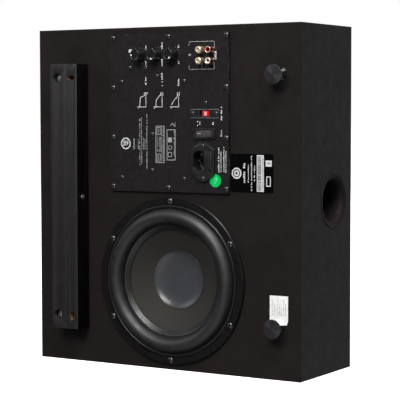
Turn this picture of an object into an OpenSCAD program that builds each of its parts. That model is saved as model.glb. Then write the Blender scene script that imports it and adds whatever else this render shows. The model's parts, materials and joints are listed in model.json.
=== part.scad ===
/* [Cabinet] */
// Width of the cabinet, left to right
cab_w = 386.5; // [380:0.5:400]
// Depth of the cabinet from the rear baffle's face to the front
cab_d = 138.5; // [136:0.5:160]
// Height of the cabinet as it stands on its narrow side
cab_h = 430; // [428:1:450]
// Thickness of every cabinet board
board_t = 15; // [14:0.5:16]
// Rounding of the front edges
front_edge_r = 3; // [1:0.5:6]
// Easing of the rear edges
rear_edge_r = 1.2; // [0.5:0.1:2]

/* [Woofer] */
// Woofer centre from the cabinet's left edge
woofer_x = 205; // [200:1:210]
// Woofer centre above the bottom side
woofer_z = 112.5; // [110:0.5:115]
// Radius of the cast frame's flange
frame_r = 105.5; // [105:0.5:106]
// Radius of the circle of frame screws
frame_screw_circle_r = 100; // [99.5:0.5:100.5]
// Radius of the hole in the baffle for the basket
woofer_hole_r = 92; // [92:0.5:94]
// Outer radius of the rubber half roll
roll_outer_r = 91; // [90:0.5:91]
// Inner radius of the rubber half roll
roll_inner_r = 71; // [70:0.5:72]
// Radius of the dust cap
dust_cap_r = 37; // [35:0.5:38]

/* [Port] */
// Port axis behind the rear face
port_y = 88; // [80:1:89]
// Port axis above the bottom side
port_z = 213.5; // [213:0.5:220]
// Inner radius of the duct
port_r = 25.5; // [22:0.5:26]
// Outer radius of the flared mouth
flare_r = 34.3; // [30:0.1:34.4]
// Centreline radius of the duct's elbow
elbow_r = 36; // [34:1:38]
// Length of the duct above the elbow
riser_len = 122; // [60:1:140]

/* [Amplifier plate] */
// Left edge of the plate
amp_x = 115; // [113:1:116]
// Lower edge of the plate
amp_z = 223.5; // [223:0.5:225]
// Width of the plate
amp_w = 175; // [175:1:178]
// Height of the plate
amp_h = 198; // [196:1:200]
// Thickness of the steel plate
plate_t = 2.5; // [2:0.5:2.5]
// Thickness of the foam gasket under the plate
gasket_t = 1; // [0.5:0.5:1]

/* [Controls] */
// Radius of a knob at its foot
knob_r = 7.9; // [7:0.1:8.5]
// Height of a knob's top above the rear face
knob_top = 16.6; // [14:0.1:18]
// Distance between knobs
knob_pitch = 24.3; // [22:0.1:26]
// Height of the knobs above the bottom side
knob_z = 394.5; // [393:0.5:396]
// Radius of a phono socket's barrel
barrel_r = 4.15; // [4.15:0.05:4.2]
// Height of the phono barrels above the rear face
barrel_top = 13.5; // [12:0.5:14]

/* [Wall cleat] */
// Thickness of the cleat pair, which is the gap to the wall
cleat_t = 25.5; // [24:0.5:26]
// Left edge of the cleat pair
cleat_x = 37; // [36:1:38]
// Seam between the two halves on the wall side
cleat_seam_x = 61.3; // [61:0.1:62]
// Right edge of the cleat pair
cleat_end_x = 78; // [77:1:80]
// Lower end of the cleat pair
cleat_z = 45; // [40:1:50]
// Length of the cleat pair
cleat_len = 340; // [330:1:345]
// Bevel between the halves, from square
cleat_bevel = 22; // [20:1:23]

/* [Feet] */
// Feet from the cabinet's left edge
foot_x = 358; // [356:1:360]
// Radius of the domed base that a foot screws through
foot_base_r = 9.7; // [8:0.1:11]
// Height of the domed base
foot_base_h = 6; // [5:0.5:7]
// Radius of a foot's head
foot_head_r = 12; // [11:0.5:13]
// Height of a foot when screwed in
foot_top = 18; // [16:0.5:20]

/* [Hidden] */
$fn = 96;
gap = 0.3;            // clearance between bodies
touch = 0.05;         // running fit, radial
plate_top = gasket_t + plate_t;
rear_y = -cab_d / 2;
inside_d = cab_d - board_t;   // depth of the front panel's inner face below the rear face
foot_spots = [[foot_x - 1, 64], [foot_x, 368]];   // lower and upper
foot_stud_r = 4;
knob_xs = [for (i = [0:2]) 160.5 + i * knob_pitch];
pot_shaft_r = 3;
pot_collar_r = 4.2;

// woofer, heights along its axis from the rear face, outwards positive
flange_top = 4.4;
groove_z = 2.6;
trim_outer_r = 95.6;
frame_seat_r = 96.4;
roll_base = 2.6;
lip_t = 0.8;
lip_inner_r = 64;
cone_outer = [70.8, -0.05];
cone_cap = [dust_cap_r, -16.6];
cone_neck = [19.3, -27];
former_r = 18.7;
former_t = 0.6;
winding_r = 20.2;
pole_r = 18.2;
gap_r = 21;
spider_z = -31;
spider_r = 57;
basket_floor = -50;
top_plate_t = 8;
magnet_t = 18;
back_plate_t = 8;
magnet_top = basket_floor - 4 - top_plate_t;
magnet_end = magnet_top - magnet_t;

// terminal tags and the leads that reach them
tag_xs = [-7, 3];
tag_w = 4;
tag_y = 69;
tag_len = 9;
lead_r = 1.3;
lead_out = -42;

// amplifier
plate_cut = 9;        // flange of the plate around its hole
cut_x = amp_x + plate_cut;
cut_z = amp_z + plate_cut;
cut_w = amp_w - 2 * plate_cut;
cut_h = amp_h - 2 * plate_cut;
edge_screws = [
    for (z = [229.5, 292, 354.5, 417]) for (x = [120, 286.5]) [x, z],
    [203, 417],
    [203, 229.5]
];
post_spots = [[133, 362], [226, 362], [133, 241], [226, 241]];
sink_spots = [[179, 296], [179, 251]];
board_spots = [[186.5, 368.5], [145.5, 379.5], [169.5, 379.5], [257, 335]];
selector_spots = [[239, 322], [272.5, 322]];
inlet_spots = [[255, 282], [255, 242]];
board_depth = 42;     // depth of the circuit board behind the rear face
board_x = [126, 279];

// phono block
phono_cols = [251.5, 265.5];
phono_rows = [386, 399.5];
phono_bore_r = 3.1;
phono_pin_r = 1.6;

// voltage selector
selector_z = 321.7;
selector_window = [249, 263];
selector_slide_x = 257.6;

// rocker
rocker_x = 255.25;
rocker_z = 297.1;
rocker_r = 12.4;
rocker_axis_out = 1.2;
rocker_rest = 8;      // resting tilt in degrees, left end pressed

// mains inlet
inlet_x = 253.5;
inlet_z = 262;
socket_x = [240, 256];
socket_z = [252, 276];
socket_depth = 17;
flange_t = 3;
inlet_top = plate_top + flange_t;
drawer_x = [257, 268];
drawer_z = [251.4, 275.6];

// labels
label_t = 0.25;

// ---------- shared shapes ----------

// Children drawn on the rear face: x to the right, y up, z out of the face.
module on_rear(x = 0, z = 0, out = 0) {
    translate([x - cab_w / 2, rear_y - out, z]) rotate([90, 0, 0]) children();
}

// Children drawn on the right side: z out of the side, y away from the rear face.
module on_right(y, z) {
    translate([cab_w / 2, rear_y + y, z]) rotate([0, 90, 0]) children();
}

module rounded_square(size, r) {
    translate([r, 0]) square([size[0] - 2 * r, size[1]]);
    translate([0, r]) square([size[0], size[1] - 2 * r]);
    for (x = [r, size[0] - r]) for (y = [r, size[1] - r]) translate([x, y]) circle(r);
}

module rounded_plate(x, z, w, h, r, bottom, top) {
    on_rear(x, z) translate([0, 0, bottom]) linear_extrude(top - bottom) rounded_square([w, h], r);
}

module box_out(x, z, bottom, top) {
    on_rear(x[0], z[0]) translate([0, 0, bottom]) cube([x[1] - x[0], z[1] - z[0], top - bottom]);
}

module ring(outer, inner, bottom, top) {
    translate([0, 0, bottom]) difference() {
        cylinder(h = top - bottom, r = outer);
        translate([0, 0, -1]) cylinder(h = top - bottom + 2, r = inner);
    }
}

module drill(spots, r, bottom, top) {
    for (s = spots) on_rear(s[0], s[1]) translate([0, 0, bottom]) cylinder(h = top - bottom, r = r);
}

// Phillips pan head on a plain shank, its underside at z = 0.
module pan_screw(head_r, head_h, shank_r, len) {
    difference() {
        union() {
            cylinder(h = head_h * 0.5, r = head_r);
            translate([0, 0, head_h * 0.5]) cylinder(h = head_h * 0.5, r1 = head_r, r2 = head_r * 0.62);
            translate([0, 0, -len]) cylinder(h = len, r = shank_r);
        }
        for (a = [45, 135]) rotate(a) translate([-head_r * 0.55, -head_r * 0.12, head_h * 0.35])
            cube([head_r * 1.1, head_r * 0.24, head_h]);
    }
}

module screws(spots, out, head_r, head_h, shank_r, len) {
    for (s = spots) on_rear(s[0], s[1]) translate([0, 0, out]) pan_screw(head_r, head_h, shank_r, len);
}

module on_woofer() {
    on_rear(woofer_x, woofer_z) children();
}

function ring_spots(r) = [for (i = [0:5]) [r * cos(60 * i + 30), r * sin(60 * i + 30)]];

// ---------- cabinet ----------

// Outline of width w and depth d: small radii at the rear (y = 0), large ones at the front.
module eased_outline(w, d) {
    intersection() {
        rounded_square([w, 2 * d], rear_edge_r);
        translate([0, -d]) rounded_square([w, 2 * d], front_edge_r);
    }
}

module cabinet_outside() {
    intersection() {
        translate([-cab_w / 2, rear_y, 0]) linear_extrude(cab_h) eased_outline(cab_w, cab_d);
        translate([-cab_w / 2, rear_y, cab_h]) rotate([0, 90, 0]) linear_extrude(cab_w)
            eased_outline(cab_h, cab_d);
    }
}

module board(x, y, z) {
    intersection() {
        cabinet_outside();
        translate([x[0], rear_y + y[0], z[0]]) cube([x[1] - x[0], y[1] - y[0], z[1] - z[0]]);
    }
}

module front_panel() {
    color([0.13, 0.12, 0.12]) board([-cab_w / 2, cab_w / 2], [inside_d, cab_d], [0, cab_h]);
}

module rear_baffle() {
    color([0.13, 0.12, 0.12]) difference() {
        board([-cab_w / 2, cab_w / 2], [0, board_t], [0, cab_h]);
        on_woofer() translate([0, 0, -board_t - 1]) cylinder(h = board_t + 2, r = woofer_hole_r);
        on_woofer() for (s = ring_spots(frame_screw_circle_r))
            translate([s[0], s[1], -board_t + 1]) cylinder(h = board_t, r = 1.8);
        rounded_plate(cut_x, cut_z, cut_w, cut_h, 4, -board_t - 1, 1);
        drill(edge_screws, 1.7, -board_t + 1, 1);
        drill([for (z = [62.5, 367.5]) [cleat_x + 9.7, z]], 2.1, -board_t + 1, 1);
        drill(foot_spots, foot_stud_r + touch, -board_t - 1, 1);
    }
}

module side(left) {
    x0 = left ? -cab_w / 2 : cab_w / 2 - board_t;
    board([x0, x0 + board_t], [board_t, inside_d], [board_t, cab_h - board_t]);
}

module left_side() {
    color([0.15, 0.14, 0.14]) side(true);
}

module right_side() {
    color([0.15, 0.14, 0.14]) difference() {
        side(false);
        on_right(port_y, port_z) translate([0, 0, -board_t - 1]) cylinder(h = board_t + 2, r = port_r + 2.5);
        on_right(port_y, port_z) translate([0, 0, -3]) cylinder(h = 4, r = flare_r);
    }
}

module top_side() {
    color([0.15, 0.14, 0.14]) board([-cab_w / 2, cab_w / 2], [board_t, inside_d], [cab_h - board_t, cab_h]);
}

module bottom_side() {
    color([0.15, 0.14, 0.14]) board([-cab_w / 2, cab_w / 2], [board_t, inside_d], [0, board_t]);
}

module braces() {
    shelf_end = 292;
    color([0.62, 0.47, 0.32]) {
        translate([-cab_w / 2 + board_t, rear_y + board_t, 207])
            cube([shelf_end - board_t, inside_d - board_t, 12]);
        for (s = [[340, 40], [70, 330]])
            on_rear(s[0], s[1]) translate([0, 0, -inside_d]) cylinder(h = inside_d - board_t, r = 11);
    }
}

// ---------- port ----------

sleeve_len = 22;

module port_flare() {
    throat = port_r;
    round_r = flare_r - throat - 1;
    lip_out = 0.6;
    color([0.10, 0.10, 0.11]) on_right(port_y, port_z) rotate_extrude() difference() {
        union() {
            translate([throat, -sleeve_len]) square([2.4, sleeve_len]);
            translate([throat, -3]) square([flare_r - touch - throat, 3]);
            translate([throat, 0]) square([flare_r - throat - 1, lip_out]);
            translate([flare_r - 1 - touch, 0]) intersection() {
                circle(1);
                square([1, lip_out]);
            }
        }
        translate([throat + round_r, lip_out - round_r]) difference() {
            translate([-round_r - 1, 0]) square([round_r + 1, round_r + 1]);
            circle(round_r);
        }
    }
}

module duct_wall() {
    difference() {
        circle(port_r + 2.4);
        circle(port_r);
    }
}

module port_duct() {
    bend_x = cab_w / 2 - sleeve_len;
    color([0.08, 0.08, 0.08]) translate([bend_x, rear_y + port_y, port_z + elbow_r]) {
        rotate([90, 0, 0]) rotate([0, 0, 180]) rotate_extrude(angle = 90) translate([elbow_r, 0]) duct_wall();
        translate([-elbow_r, 0, 0]) linear_extrude(riser_len) duct_wall();
    }
}

// ---------- woofer ----------

module woofer_frame() {
    basket = [
        [frame_r, 0], [frame_r, flange_top - 1.2], [frame_r - 1.2, flange_top],
        [frame_seat_r, flange_top], [frame_seat_r, groove_z], [roll_outer_r - 1, groove_z],
        [roll_outer_r - 3, -1], [74, spider_z], [spider_r - 3, spider_z],
        [spider_r - 3, spider_z - 2.5], [60, spider_z - 2.5], [57, basket_floor],
        [30, basket_floor], [30, basket_floor - 4], [62, basket_floor - 4],
        [65, spider_z - 2.5], [77, spider_z - 1], [roll_outer_r, -2], [roll_outer_r, 0]
    ];
    color([0.09, 0.09, 0.10]) on_woofer() difference() {
        rotate_extrude() polygon(basket);
        for (s = ring_spots(frame_screw_circle_r)) translate([s[0], s[1], -1]) cylinder(h = 8, r = 2.3);
        for (s = ring_spots(frame_screw_circle_r))
            translate([s[0], s[1], flange_top - 1.4]) cylinder(h = 3, r = 4);
        for (i = [0:5]) rotate(60 * i) translate([50, -18, basket_floor + 3]) cube([40, 36, 13]);
        for (i = [0:5]) rotate(60 * i) translate([69, -24, spider_z + 4]) cube([30, 48, 18]);
    }
}

module trim_ring() {
    top = 5.5;
    base = roll_base + lip_t;
    color([0.07, 0.07, 0.08]) on_woofer() rotate_extrude() polygon([
        [trim_outer_r, base], [trim_outer_r, top - 0.7], [trim_outer_r - 0.7, top],
        [roll_outer_r + 1, top], [roll_outer_r + 0.3, top - 0.7], [roll_outer_r + 0.3, base]
    ]);
}

// Points of an arc of radius r about c, from angle a0 to a1.
function arc(c, r, a0, a1, steps = 18) =
    [for (i = [0:steps]) let (a = a0 + (a1 - a0) * i / steps) [c[0] + r * cos(a), c[1] + r * sin(a)]];

// Half roll of rubber with a flat outer lip and an inner lip that follows the cone.
module surround() {
    mid = [(roll_outer_r + roll_inner_r) / 2, roll_base];
    roll_r = (roll_outer_r - roll_inner_r) / 2;
    color([0.06, 0.06, 0.065]) on_woofer() rotate_extrude() polygon(concat(
        [[lip_inner_r, -2.1], [roll_inner_r, 1.5]],
        arc(mid, roll_r, 180, lip_t * 180 / (PI * roll_r)),
        [[trim_outer_r - 0.1, roll_base + lip_t], [trim_outer_r - 0.1, roll_base]],
        arc(mid, roll_r - lip_t, 0, 180),
        [[roll_inner_r + lip_t, 0.6], [lip_inner_r, -2.9]]
    ));
}

module cone() {
    t = 1;
    color([0.16, 0.16, 0.13]) on_woofer() rotate_extrude() polygon([
        cone_outer, cone_cap, cone_neck, [cone_neck[0], cone_neck[1] - t],
        [cone_cap[0], cone_cap[1] - t], [cone_outer[0], cone_outer[1] - t]
    ]);
}

// A shallow dish, sunk towards its middle, whose rim rests on the cone.
module dust_cap() {
    sink = 9;
    t = 0.9;
    dish_r = (dust_cap_r * dust_cap_r + sink * sink) / (2 * sink);
    rim = cone_cap[1] + t + 0.15;
    color([0.16, 0.17, 0.19]) on_woofer() rotate_extrude() intersection() {
        translate([0, rim - sink + dish_r]) difference() {
            circle(dish_r + t);
            circle(dish_r);
        }
        translate([0, rim - sink - 2 * t]) square([dust_cap_r, sink + 2 * t]);
    }
}

module coil_former() {
    color([0.75, 0.55, 0.25]) on_woofer() ring(former_r + former_t, former_r, -60, cone_neck[1] + 3);
}

module coil_winding() {
    color([0.72, 0.38, 0.2]) on_woofer() ring(winding_r, former_r + former_t, -68, -48);
    color([0.72, 0.38, 0.2]) on_woofer() ring(former_r + former_t, former_r, -68, -60);
}

// Corrugated suspension: a disc whose rings follow a sine.
module spider() {
    inner = former_r + former_t + gap;
    waves = 5;
    steps = 40;
    tall = 1.6;
    sheet = 0.6;
    flat = 4;
    r = [for (i = [0:steps]) inner + (spider_r + 2 - inner) * i / steps];
    z = [
        for (i = [0:steps])
            spider_z + (r[i] < spider_r - flat ? 1.7 + tall * sin(360 * waves * i / steps) : 0)
    ];
    color([0.72, 0.62, 0.35]) on_woofer() rotate_extrude() polygon(concat(
        [for (i = [0:steps]) [r[i], z[i]]],
        [for (i = [steps:-1:0]) [r[i], z[i] + sheet]]
    ));
}

module top_plate() {
    color([0.55, 0.56, 0.58]) on_woofer() ring(52, gap_r, magnet_top, basket_floor - 4);
}

module magnet() {
    color([0.17, 0.17, 0.18]) on_woofer() ring(58, 30, magnet_end, magnet_top);
}

module back_plate() {
    vent_r = 6;
    color([0.55, 0.56, 0.58]) on_woofer() difference() {
        union() {
            translate([0, 0, magnet_end - back_plate_t]) cylinder(h = back_plate_t, r = 52);
            translate([0, 0, magnet_end]) cylinder(h = magnet_top - magnet_end + top_plate_t, r = pole_r);
        }
        translate([0, 0, magnet_end - back_plate_t - 1]) cylinder(h = 60, r = vent_r);
    }
}

module woofer_terminals() {
    block_top = basket_floor + 15;
    color([0.7, 0.6, 0.3]) on_woofer() {
        difference() {
            translate([-9, 60, block_top - 10]) cube([18, tag_y - 60, 10]);
            translate([0, 0, block_top - 11]) cylinder(h = 12, r = 65.2);
        }
        for (x = tag_xs) translate([x, tag_y, lead_out]) cube([tag_w, tag_len, 0.8]);
    }
}

module woofer_screws() {
    color([0.2, 0.2, 0.21]) on_woofer() for (s = ring_spots(frame_screw_circle_r))
        translate([s[0], s[1], flange_top - 1.4]) pan_screw(3.7, 2.6, 1.7, 13);
}

// ---------- amplifier ----------

module plate_holes(bottom, top) {
    drill([for (x = knob_xs) [x, knob_z]], pot_collar_r + 0.1, bottom, top);
    drill([for (x = phono_cols) for (z = phono_rows) [x, z]], 4.6, bottom, top);
    box_out([245, 267], [selector_z - 4.6, selector_z + 4.6], bottom, top);
    box_out([rocker_x - 14, rocker_x + 14], [rocker_z - 5.9, rocker_z + 5.9], bottom, top);
    box_out([238.5, 268.5], [250, 277], bottom, top);
    drill(concat(post_spots, sink_spots, board_spots, selector_spots, inlet_spots), 1.6, bottom, top);
    drill(edge_screws, 2.1, bottom, top);
}

module amp_gasket() {
    color([0.05, 0.05, 0.05]) difference() {
        rounded_plate(amp_x + 0.5, amp_z + 0.5, amp_w - 1, amp_h - 1, 1.5, 0, gasket_t);
        rounded_plate(cut_x, cut_z, cut_w, cut_h, 4, -1, gasket_t + 1);
        drill(edge_screws, 2.1, -1, gasket_t + 1);
    }
}

module amp_plate() {
    ease = 0.6;
    color([0.14, 0.14, 0.15]) difference() {
        union() {
            rounded_plate(amp_x, amp_z, amp_w, amp_h, 2, gasket_t, plate_top - ease);
            rounded_plate(
                amp_x + ease, amp_z + ease, amp_w - 2 * ease, amp_h - 2 * ease, 2, gasket_t, plate_top
            );
        }
        plate_holes(-1, plate_top + 1);
    }
}

module amp_screws() {
    color([0.25, 0.25, 0.26]) screws(edge_screws, plate_top, 3.2, 2.2, 1.6, 15);
}

module small_screws() {
    color([0.25, 0.25, 0.26]) {
        screws(concat(post_spots, sink_spots, board_spots), plate_top, 2.3, 1.5, 1.5, 6);
        screws(selector_spots, plate_top + 1, 2.3, 1.4, 1.5, 7);
        screws(inlet_spots, inlet_top, 2.6, 1.6, 1.5, 9);
    }
}

module circuit_board() {
    color([0.1, 0.3, 0.16]) {
        difference() {
            box_out(board_x, [236, 408], -board_depth - 1.6, -board_depth);
            drill(post_spots, 1.6, -board_depth - 3, -board_depth + 1);
        }
        for (s = concat(post_spots, board_spots)) on_rear(s[0], s[1])
            ring(3, 1.6, -board_depth, gasket_t);
    }
}

module transformer() {
    core = [164, 338];
    color([0.72, 0.62, 0.3]) on_rear(core[0], core[1]) {
        translate([0, 0, -34]) rotate_extrude() translate([11, 0]) rounded_square([22, 28], 6);
        ring(9, 2.5, -board_depth, -5);
        ring(27, 2.5, -6, -4);
    }
}

module heat_sink() {
    fins = 6;
    color([0.6, 0.6, 0.62]) difference() {
        box_out([166, 192], [244, 303], -30, gasket_t);
        for (i = [0:fins - 2]) on_rear(169.4 + i * 4.1, 243) translate([0, 0, -31]) cube([2.2, 61, 26]);
        drill(sink_spots, 1.6, -6, gasket_t + 1);
    }
}

module capacitors() {
    color([0.1, 0.12, 0.2]) for (z = [260, 286]) on_rear(211, z)
        translate([0, 0, -board_depth]) cylinder(h = 30, r = 11);
}

module pot_bodies() {
    color([0.35, 0.36, 0.38]) for (x = knob_xs) on_rear(x, knob_z) difference() {
        union() {
            translate([-7.5, -8, -11]) cube([15, 16, 12]);
            cylinder(h = plate_top + 2, r = pot_collar_r);
        }
        translate([0, 0, -9]) cylinder(h = 20, r = pot_shaft_r + touch);
    }
}

// A knob on its spindle. The pointer dot is a shallow pit at its rim, turned to the given angle.
module knob(x, pointer) {
    foot = plate_top + 0.6;
    spindle = [-8.7, foot + 8];
    pit_r = 1.1;
    color([0.05, 0.05, 0.055]) on_rear(x, knob_z) difference() {
        union() {
            rotate_extrude() polygon([
                [0, foot + 2.4], [pot_collar_r + 0.4, foot + 2.4], [pot_collar_r + 0.4, foot], [knob_r, foot],
                [knob_r - 0.1, foot + 1.5], [knob_r - 0.6, knob_top - 0.9], [knob_r - 1.3, knob_top],
                [0, knob_top - 0.3]
            ]);
            translate([0, 0, spindle[0]]) cylinder(h = spindle[1] - spindle[0], r = pot_shaft_r);
        }
        rotate(pointer) translate([knob_r - 2.9, 0, knob_top - 0.7]) cylinder(h = 2, r = pit_r);
    }
}

module level_knob() {
    knob(knob_xs[0], 180);
}

module crossover_knob() {
    knob(knob_xs[1], 270);
}

module phase_knob() {
    knob(knob_xs[2], 303);
}

// ---------- phono sockets ----------

cap_wall = 0.9;

function is_capped(x) = x == phono_cols[0];

module phono_block() {
    color([0.06, 0.06, 0.06]) difference() {
        box_out([244, 273], [378, 407], -12, gasket_t);
        for (x = phono_cols) for (z = phono_rows) on_rear(x, z) translate([0, 0, -9])
            cylinder(h = 20, r = barrel_r + 0.05);
    }
}

// Top of a barrel: the capped pair is shorter, to leave room under the caps.
function barrel_end(x) = is_capped(x) ? barrel_top - cap_wall - gap : barrel_top;

module phono_barrels() {
    color([0.85, 0.65, 0.25]) for (x = phono_cols) for (z = phono_rows) on_rear(x, z) {
        ring(barrel_r, phono_bore_r, -9, barrel_end(x));
        ring(4.55, barrel_r - 0.5, gasket_t, plate_top + 1);
    }
}

module insulators(z) {
    for (x = phono_cols) on_rear(x, z)
        ring(phono_bore_r - 0.02, phono_pin_r + 0.3, -8, barrel_end(x) - 0.5);
}

module red_insulators() {
    color([0.75, 0.06, 0.05]) insulators(phono_rows[1]);
}

module white_insulators() {
    color([0.9, 0.9, 0.88]) insulators(phono_rows[0]);
}

// Spring tubes for the plugs' centre pins.
module phono_contacts() {
    color([0.8, 0.7, 0.45]) for (x = phono_cols) for (z = phono_rows) on_rear(x, z)
        ring(phono_pin_r + 0.28, phono_pin_r, -8, barrel_end(x) - 2);
}

module phono_cap(z) {
    skirt = 0.55;
    dimple = [1.7, 0.4];
    color([0.88, 0.68, 0.28]) on_rear(phono_cols[0], z) difference() {
        rotate_extrude() polygon([
            [0, plate_top + 1 + gap], [barrel_r + skirt, plate_top + 1 + gap],
            [barrel_r + skirt, barrel_top - 0.5], [barrel_r + skirt - 0.5, barrel_top], [0, barrel_top]
        ]);
        translate([0, 0, plate_top]) cylinder(h = barrel_top - plate_top - cap_wall, r = barrel_r + touch);
        translate([0, 0, barrel_top - dimple[1]]) cylinder(h = 1, r = dimple[0]);
    }
}

module upper_phono_cap() {
    phono_cap(phono_rows[1]);
}

module lower_phono_cap() {
    phono_cap(phono_rows[0]);
}

// ---------- voltage selector and rocker ----------

module selector_body() {
    channel = [selector_window[0], selector_window[1]];
    color([0.10, 0.10, 0.11]) difference() {
        union() {
            box_out([235, 277], [selector_z - 5.8, selector_z + 5.8], plate_top, plate_top + 1);
            box_out([245.2, 266.8], [selector_z - 4.4, selector_z + 4.4], -12, plate_top);
        }
        box_out(channel, [selector_z - 3.9, selector_z + 3.9], plate_top - 3.3, plate_top + 2);
        drill(selector_spots, 1.6, -1, plate_top + 2);
    }
}

module selector_slider() {
    half = 5;
    color([0.8, 0.1, 0.07]) difference() {
        box_out([selector_slide_x - half, selector_slide_x + half], [selector_z - 3.6, selector_z + 3.6],
            plate_top - 3, plate_top + 0.7);
        box_out([selector_slide_x - 0.8, selector_slide_x + 0.8], [selector_z - 2.4, selector_z + 2.4],
            plate_top - 0.8, plate_top + 2);
    }
}

module rocker_bezel() {
    color([0.07, 0.07, 0.075]) difference() {
        union() {
            rounded_plate(rocker_x - 15.25, rocker_z - 6.9, 30.5, 13.8, 1, plate_top, plate_top + 2);
            box_out([rocker_x - 13.9, rocker_x + 13.9], [rocker_z - 5.75, rocker_z + 5.75], -14, plate_top);
        }
        box_out([rocker_x - 12.75, rocker_x + 12.75], [rocker_z - 4.3, rocker_z + 4.3], -12.5, plate_top + 3);
        on_rear(rocker_x, rocker_z) translate([0, 0, rocker_axis_out]) rotate([90, 0, 0])
            cylinder(h = 10.7, r = 1.2 + touch, center = true);
    }
}

// Seen along its pivot: two shallow slopes that meet in the middle, with round ends about the axis.
module rocker_paddle() {
    end_h = 5.4;
    mid_h = 3.9;
    color([0.06, 0.06, 0.065]) on_rear(rocker_x, rocker_z, rocker_axis_out) rotate([90, 0, 0]) {
        linear_extrude(8, center = true) rotate(rocker_rest) intersection() {
            circle(rocker_r);
            polygon([[-13, end_h], [0, mid_h], [13, end_h], [13, 1], [5, -6], [-5, -6], [-13, 1]]);
        }
        cylinder(h = 10.5, r = 1.2, center = true);
    }
}

// ---------- mains inlet ----------

module socket_outline() {
    cut = 4.5;
    w = socket_x[1] - socket_x[0];
    h = socket_z[1] - socket_z[0];
    translate([socket_x[0], socket_z[0]])
        polygon([[cut, 0], [w, 0], [w, h], [cut, h], [0, h - cut], [0, cut]]);
}

module inlet_flange() {
    apex = 24;
    waist = 15;
    half = 16.5;
    on_rear() translate([inlet_x, inlet_z, plate_top]) linear_extrude(flange_t) polygon([
        [-half, -waist], [-4, -apex], [4, -apex], [half, -waist],
        [half, waist], [4, apex], [-4, apex], [-half, waist]
    ]);
}

module inlet_body() {
    color([0.09, 0.09, 0.10]) difference() {
        union() {
            inlet_flange();
            box_out([238.7, 268.3], [250.2, 276.8], -22, plate_top);
        }
        on_rear() translate([0, 0, inlet_top - socket_depth]) linear_extrude(30) socket_outline();
        box_out(
            [drawer_x[0] - gap, drawer_x[1] - 0.6], [drawer_z[0] + 0.5, drawer_z[1] - 0.5],
            -20, inlet_top + 1
        );
        pin_blades();
        drill(inlet_spots, 1.6, -1, inlet_top + 1);
    }
}

module pin_blades() {
    tip = inlet_top - 4.8;
    tail = -23;
    for (p = [[250, 271], [250, 257], [245.5, 264]])
        box_out([p[0] - 2, p[0] + 2], [p[1] - 1, p[1] + 1], tail, tip);
}

module inlet_pins() {
    color([0.8, 0.78, 0.7]) pin_blades();
}

module fuse_drawer() {
    face = inlet_top + 0.8;
    color([0.08, 0.08, 0.09]) difference() {
        union() {
            box_out(drawer_x, drawer_z, inlet_top + 0.1, face);
            box_out(
                [drawer_x[0], drawer_x[1] - 0.9], [drawer_z[0] + 0.8, drawer_z[1] - 0.8],
                -18, inlet_top + 0.1
            );
        }
        box_out(
            [drawer_x[0] + 1.6, drawer_x[1] + 2], [drawer_z[0] + 1.8, drawer_z[1] - 1.8],
            -16.5, inlet_top - 2
        );
        box_out(
            [drawer_x[0] + 3.5, drawer_x[1] - 3.5], [drawer_z[0] - 1, drawer_z[0] + 1.2],
            inlet_top - 1, face + 1
        );
    }
}

// Glass fuse with its two metal caps, lying in the drawer.
module fuse() {
    r = 2.6;
    len = 20;
    z0 = (drawer_z[0] + drawer_z[1] - len) / 2;
    color([0.8, 0.8, 0.78]) on_rear(drawer_x[0] + 4.8, z0) translate([0, 0, -6]) rotate([-90, 0, 0]) {
        cylinder(h = 5, r = r);
        translate([0, 0, 5]) cylinder(h = len - 10, r = r - 0.3);
        translate([0, 0, len - 5]) cylinder(h = 5, r = r);
    }
}

// A lead from the board's edge along z0, down at x, and back along z1 to end_x.
module lead(x, z0, z1, end_x) {
    on_rear(0, 0, lead_out + 0.4) {
        translate([board_x[1], z0, 0]) rotate([0, 90, 0]) cylinder(h = x - board_x[1], r = lead_r);
        translate([x, z1, 0]) rotate([-90, 0, 0]) cylinder(h = z0 - z1, r = lead_r);
        translate([end_x, z1, 0]) rotate([0, 90, 0]) cylinder(h = x - end_x, r = lead_r);
        for (z = [z0, z1]) translate([x, z, 0]) sphere(lead_r);
    }
}

// Two insulated leads, past the shelf's end to the woofer's tags.
module speaker_leads() {
    tag_top = woofer_z + tag_y + tag_len;
    far_tag = woofer_x + tag_xs[0] + tag_w / 2;
    over_z = tag_top + 2.3;
    color([0.7, 0.08, 0.06]) {
        lead(298, 334, tag_top - 3, woofer_x + tag_xs[1] + tag_w);
        lead(294.8, 330, over_z, far_tag);
        on_rear(far_tag, over_z, lead_out + 0.4) sphere(lead_r);
        on_rear(far_tag, tag_top, lead_out + 0.4) rotate([-90, 0, 0])
            cylinder(h = over_z - tag_top, r = lead_r);
    }
}

// ---------- wall cleats, feet, labels ----------

bevel_run = cleat_t * tan(cleat_bevel);
cleat_bottom = gap;

// Outline seen from above: x to the right, y out of the rear face.
module cleat_half(points) {
    translate([-cab_w / 2, rear_y, cleat_z]) linear_extrude(cleat_len) polygon(points);
}

module cabinet_cleat() {
    color([0.18, 0.18, 0.19]) difference() {
        cleat_half([
            [cleat_x, 0], [cleat_seam_x - gap / 2 - bevel_run, 0],
            [cleat_seam_x - gap / 2, -cleat_t], [cleat_x, -cleat_t]
        ]);
        for (z = [62.5, 367.5]) on_rear(cleat_x + 9.7, z) {
            translate([0, 0, cleat_t - 8]) cylinder(h = 9, r = 6);
            translate([0, 0, -1]) cylinder(h = 30, r = 2.3);
        }
    }
}

slot_x = 69;

module slot(z, w, h) {
    r = min(w, h) / 2;
    run = max(w, h) / 2 - r;
    dir = w > h ? [run, 0] : [0, run];
    on_rear(slot_x, z) translate([0, 0, -1]) linear_extrude(cleat_t + 2) {
        for (s = [-1, 1]) translate(s * dir) circle(r);
        square([w > h ? 2 * run : w, w > h ? h : 2 * run], center = true);
    }
}

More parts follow.
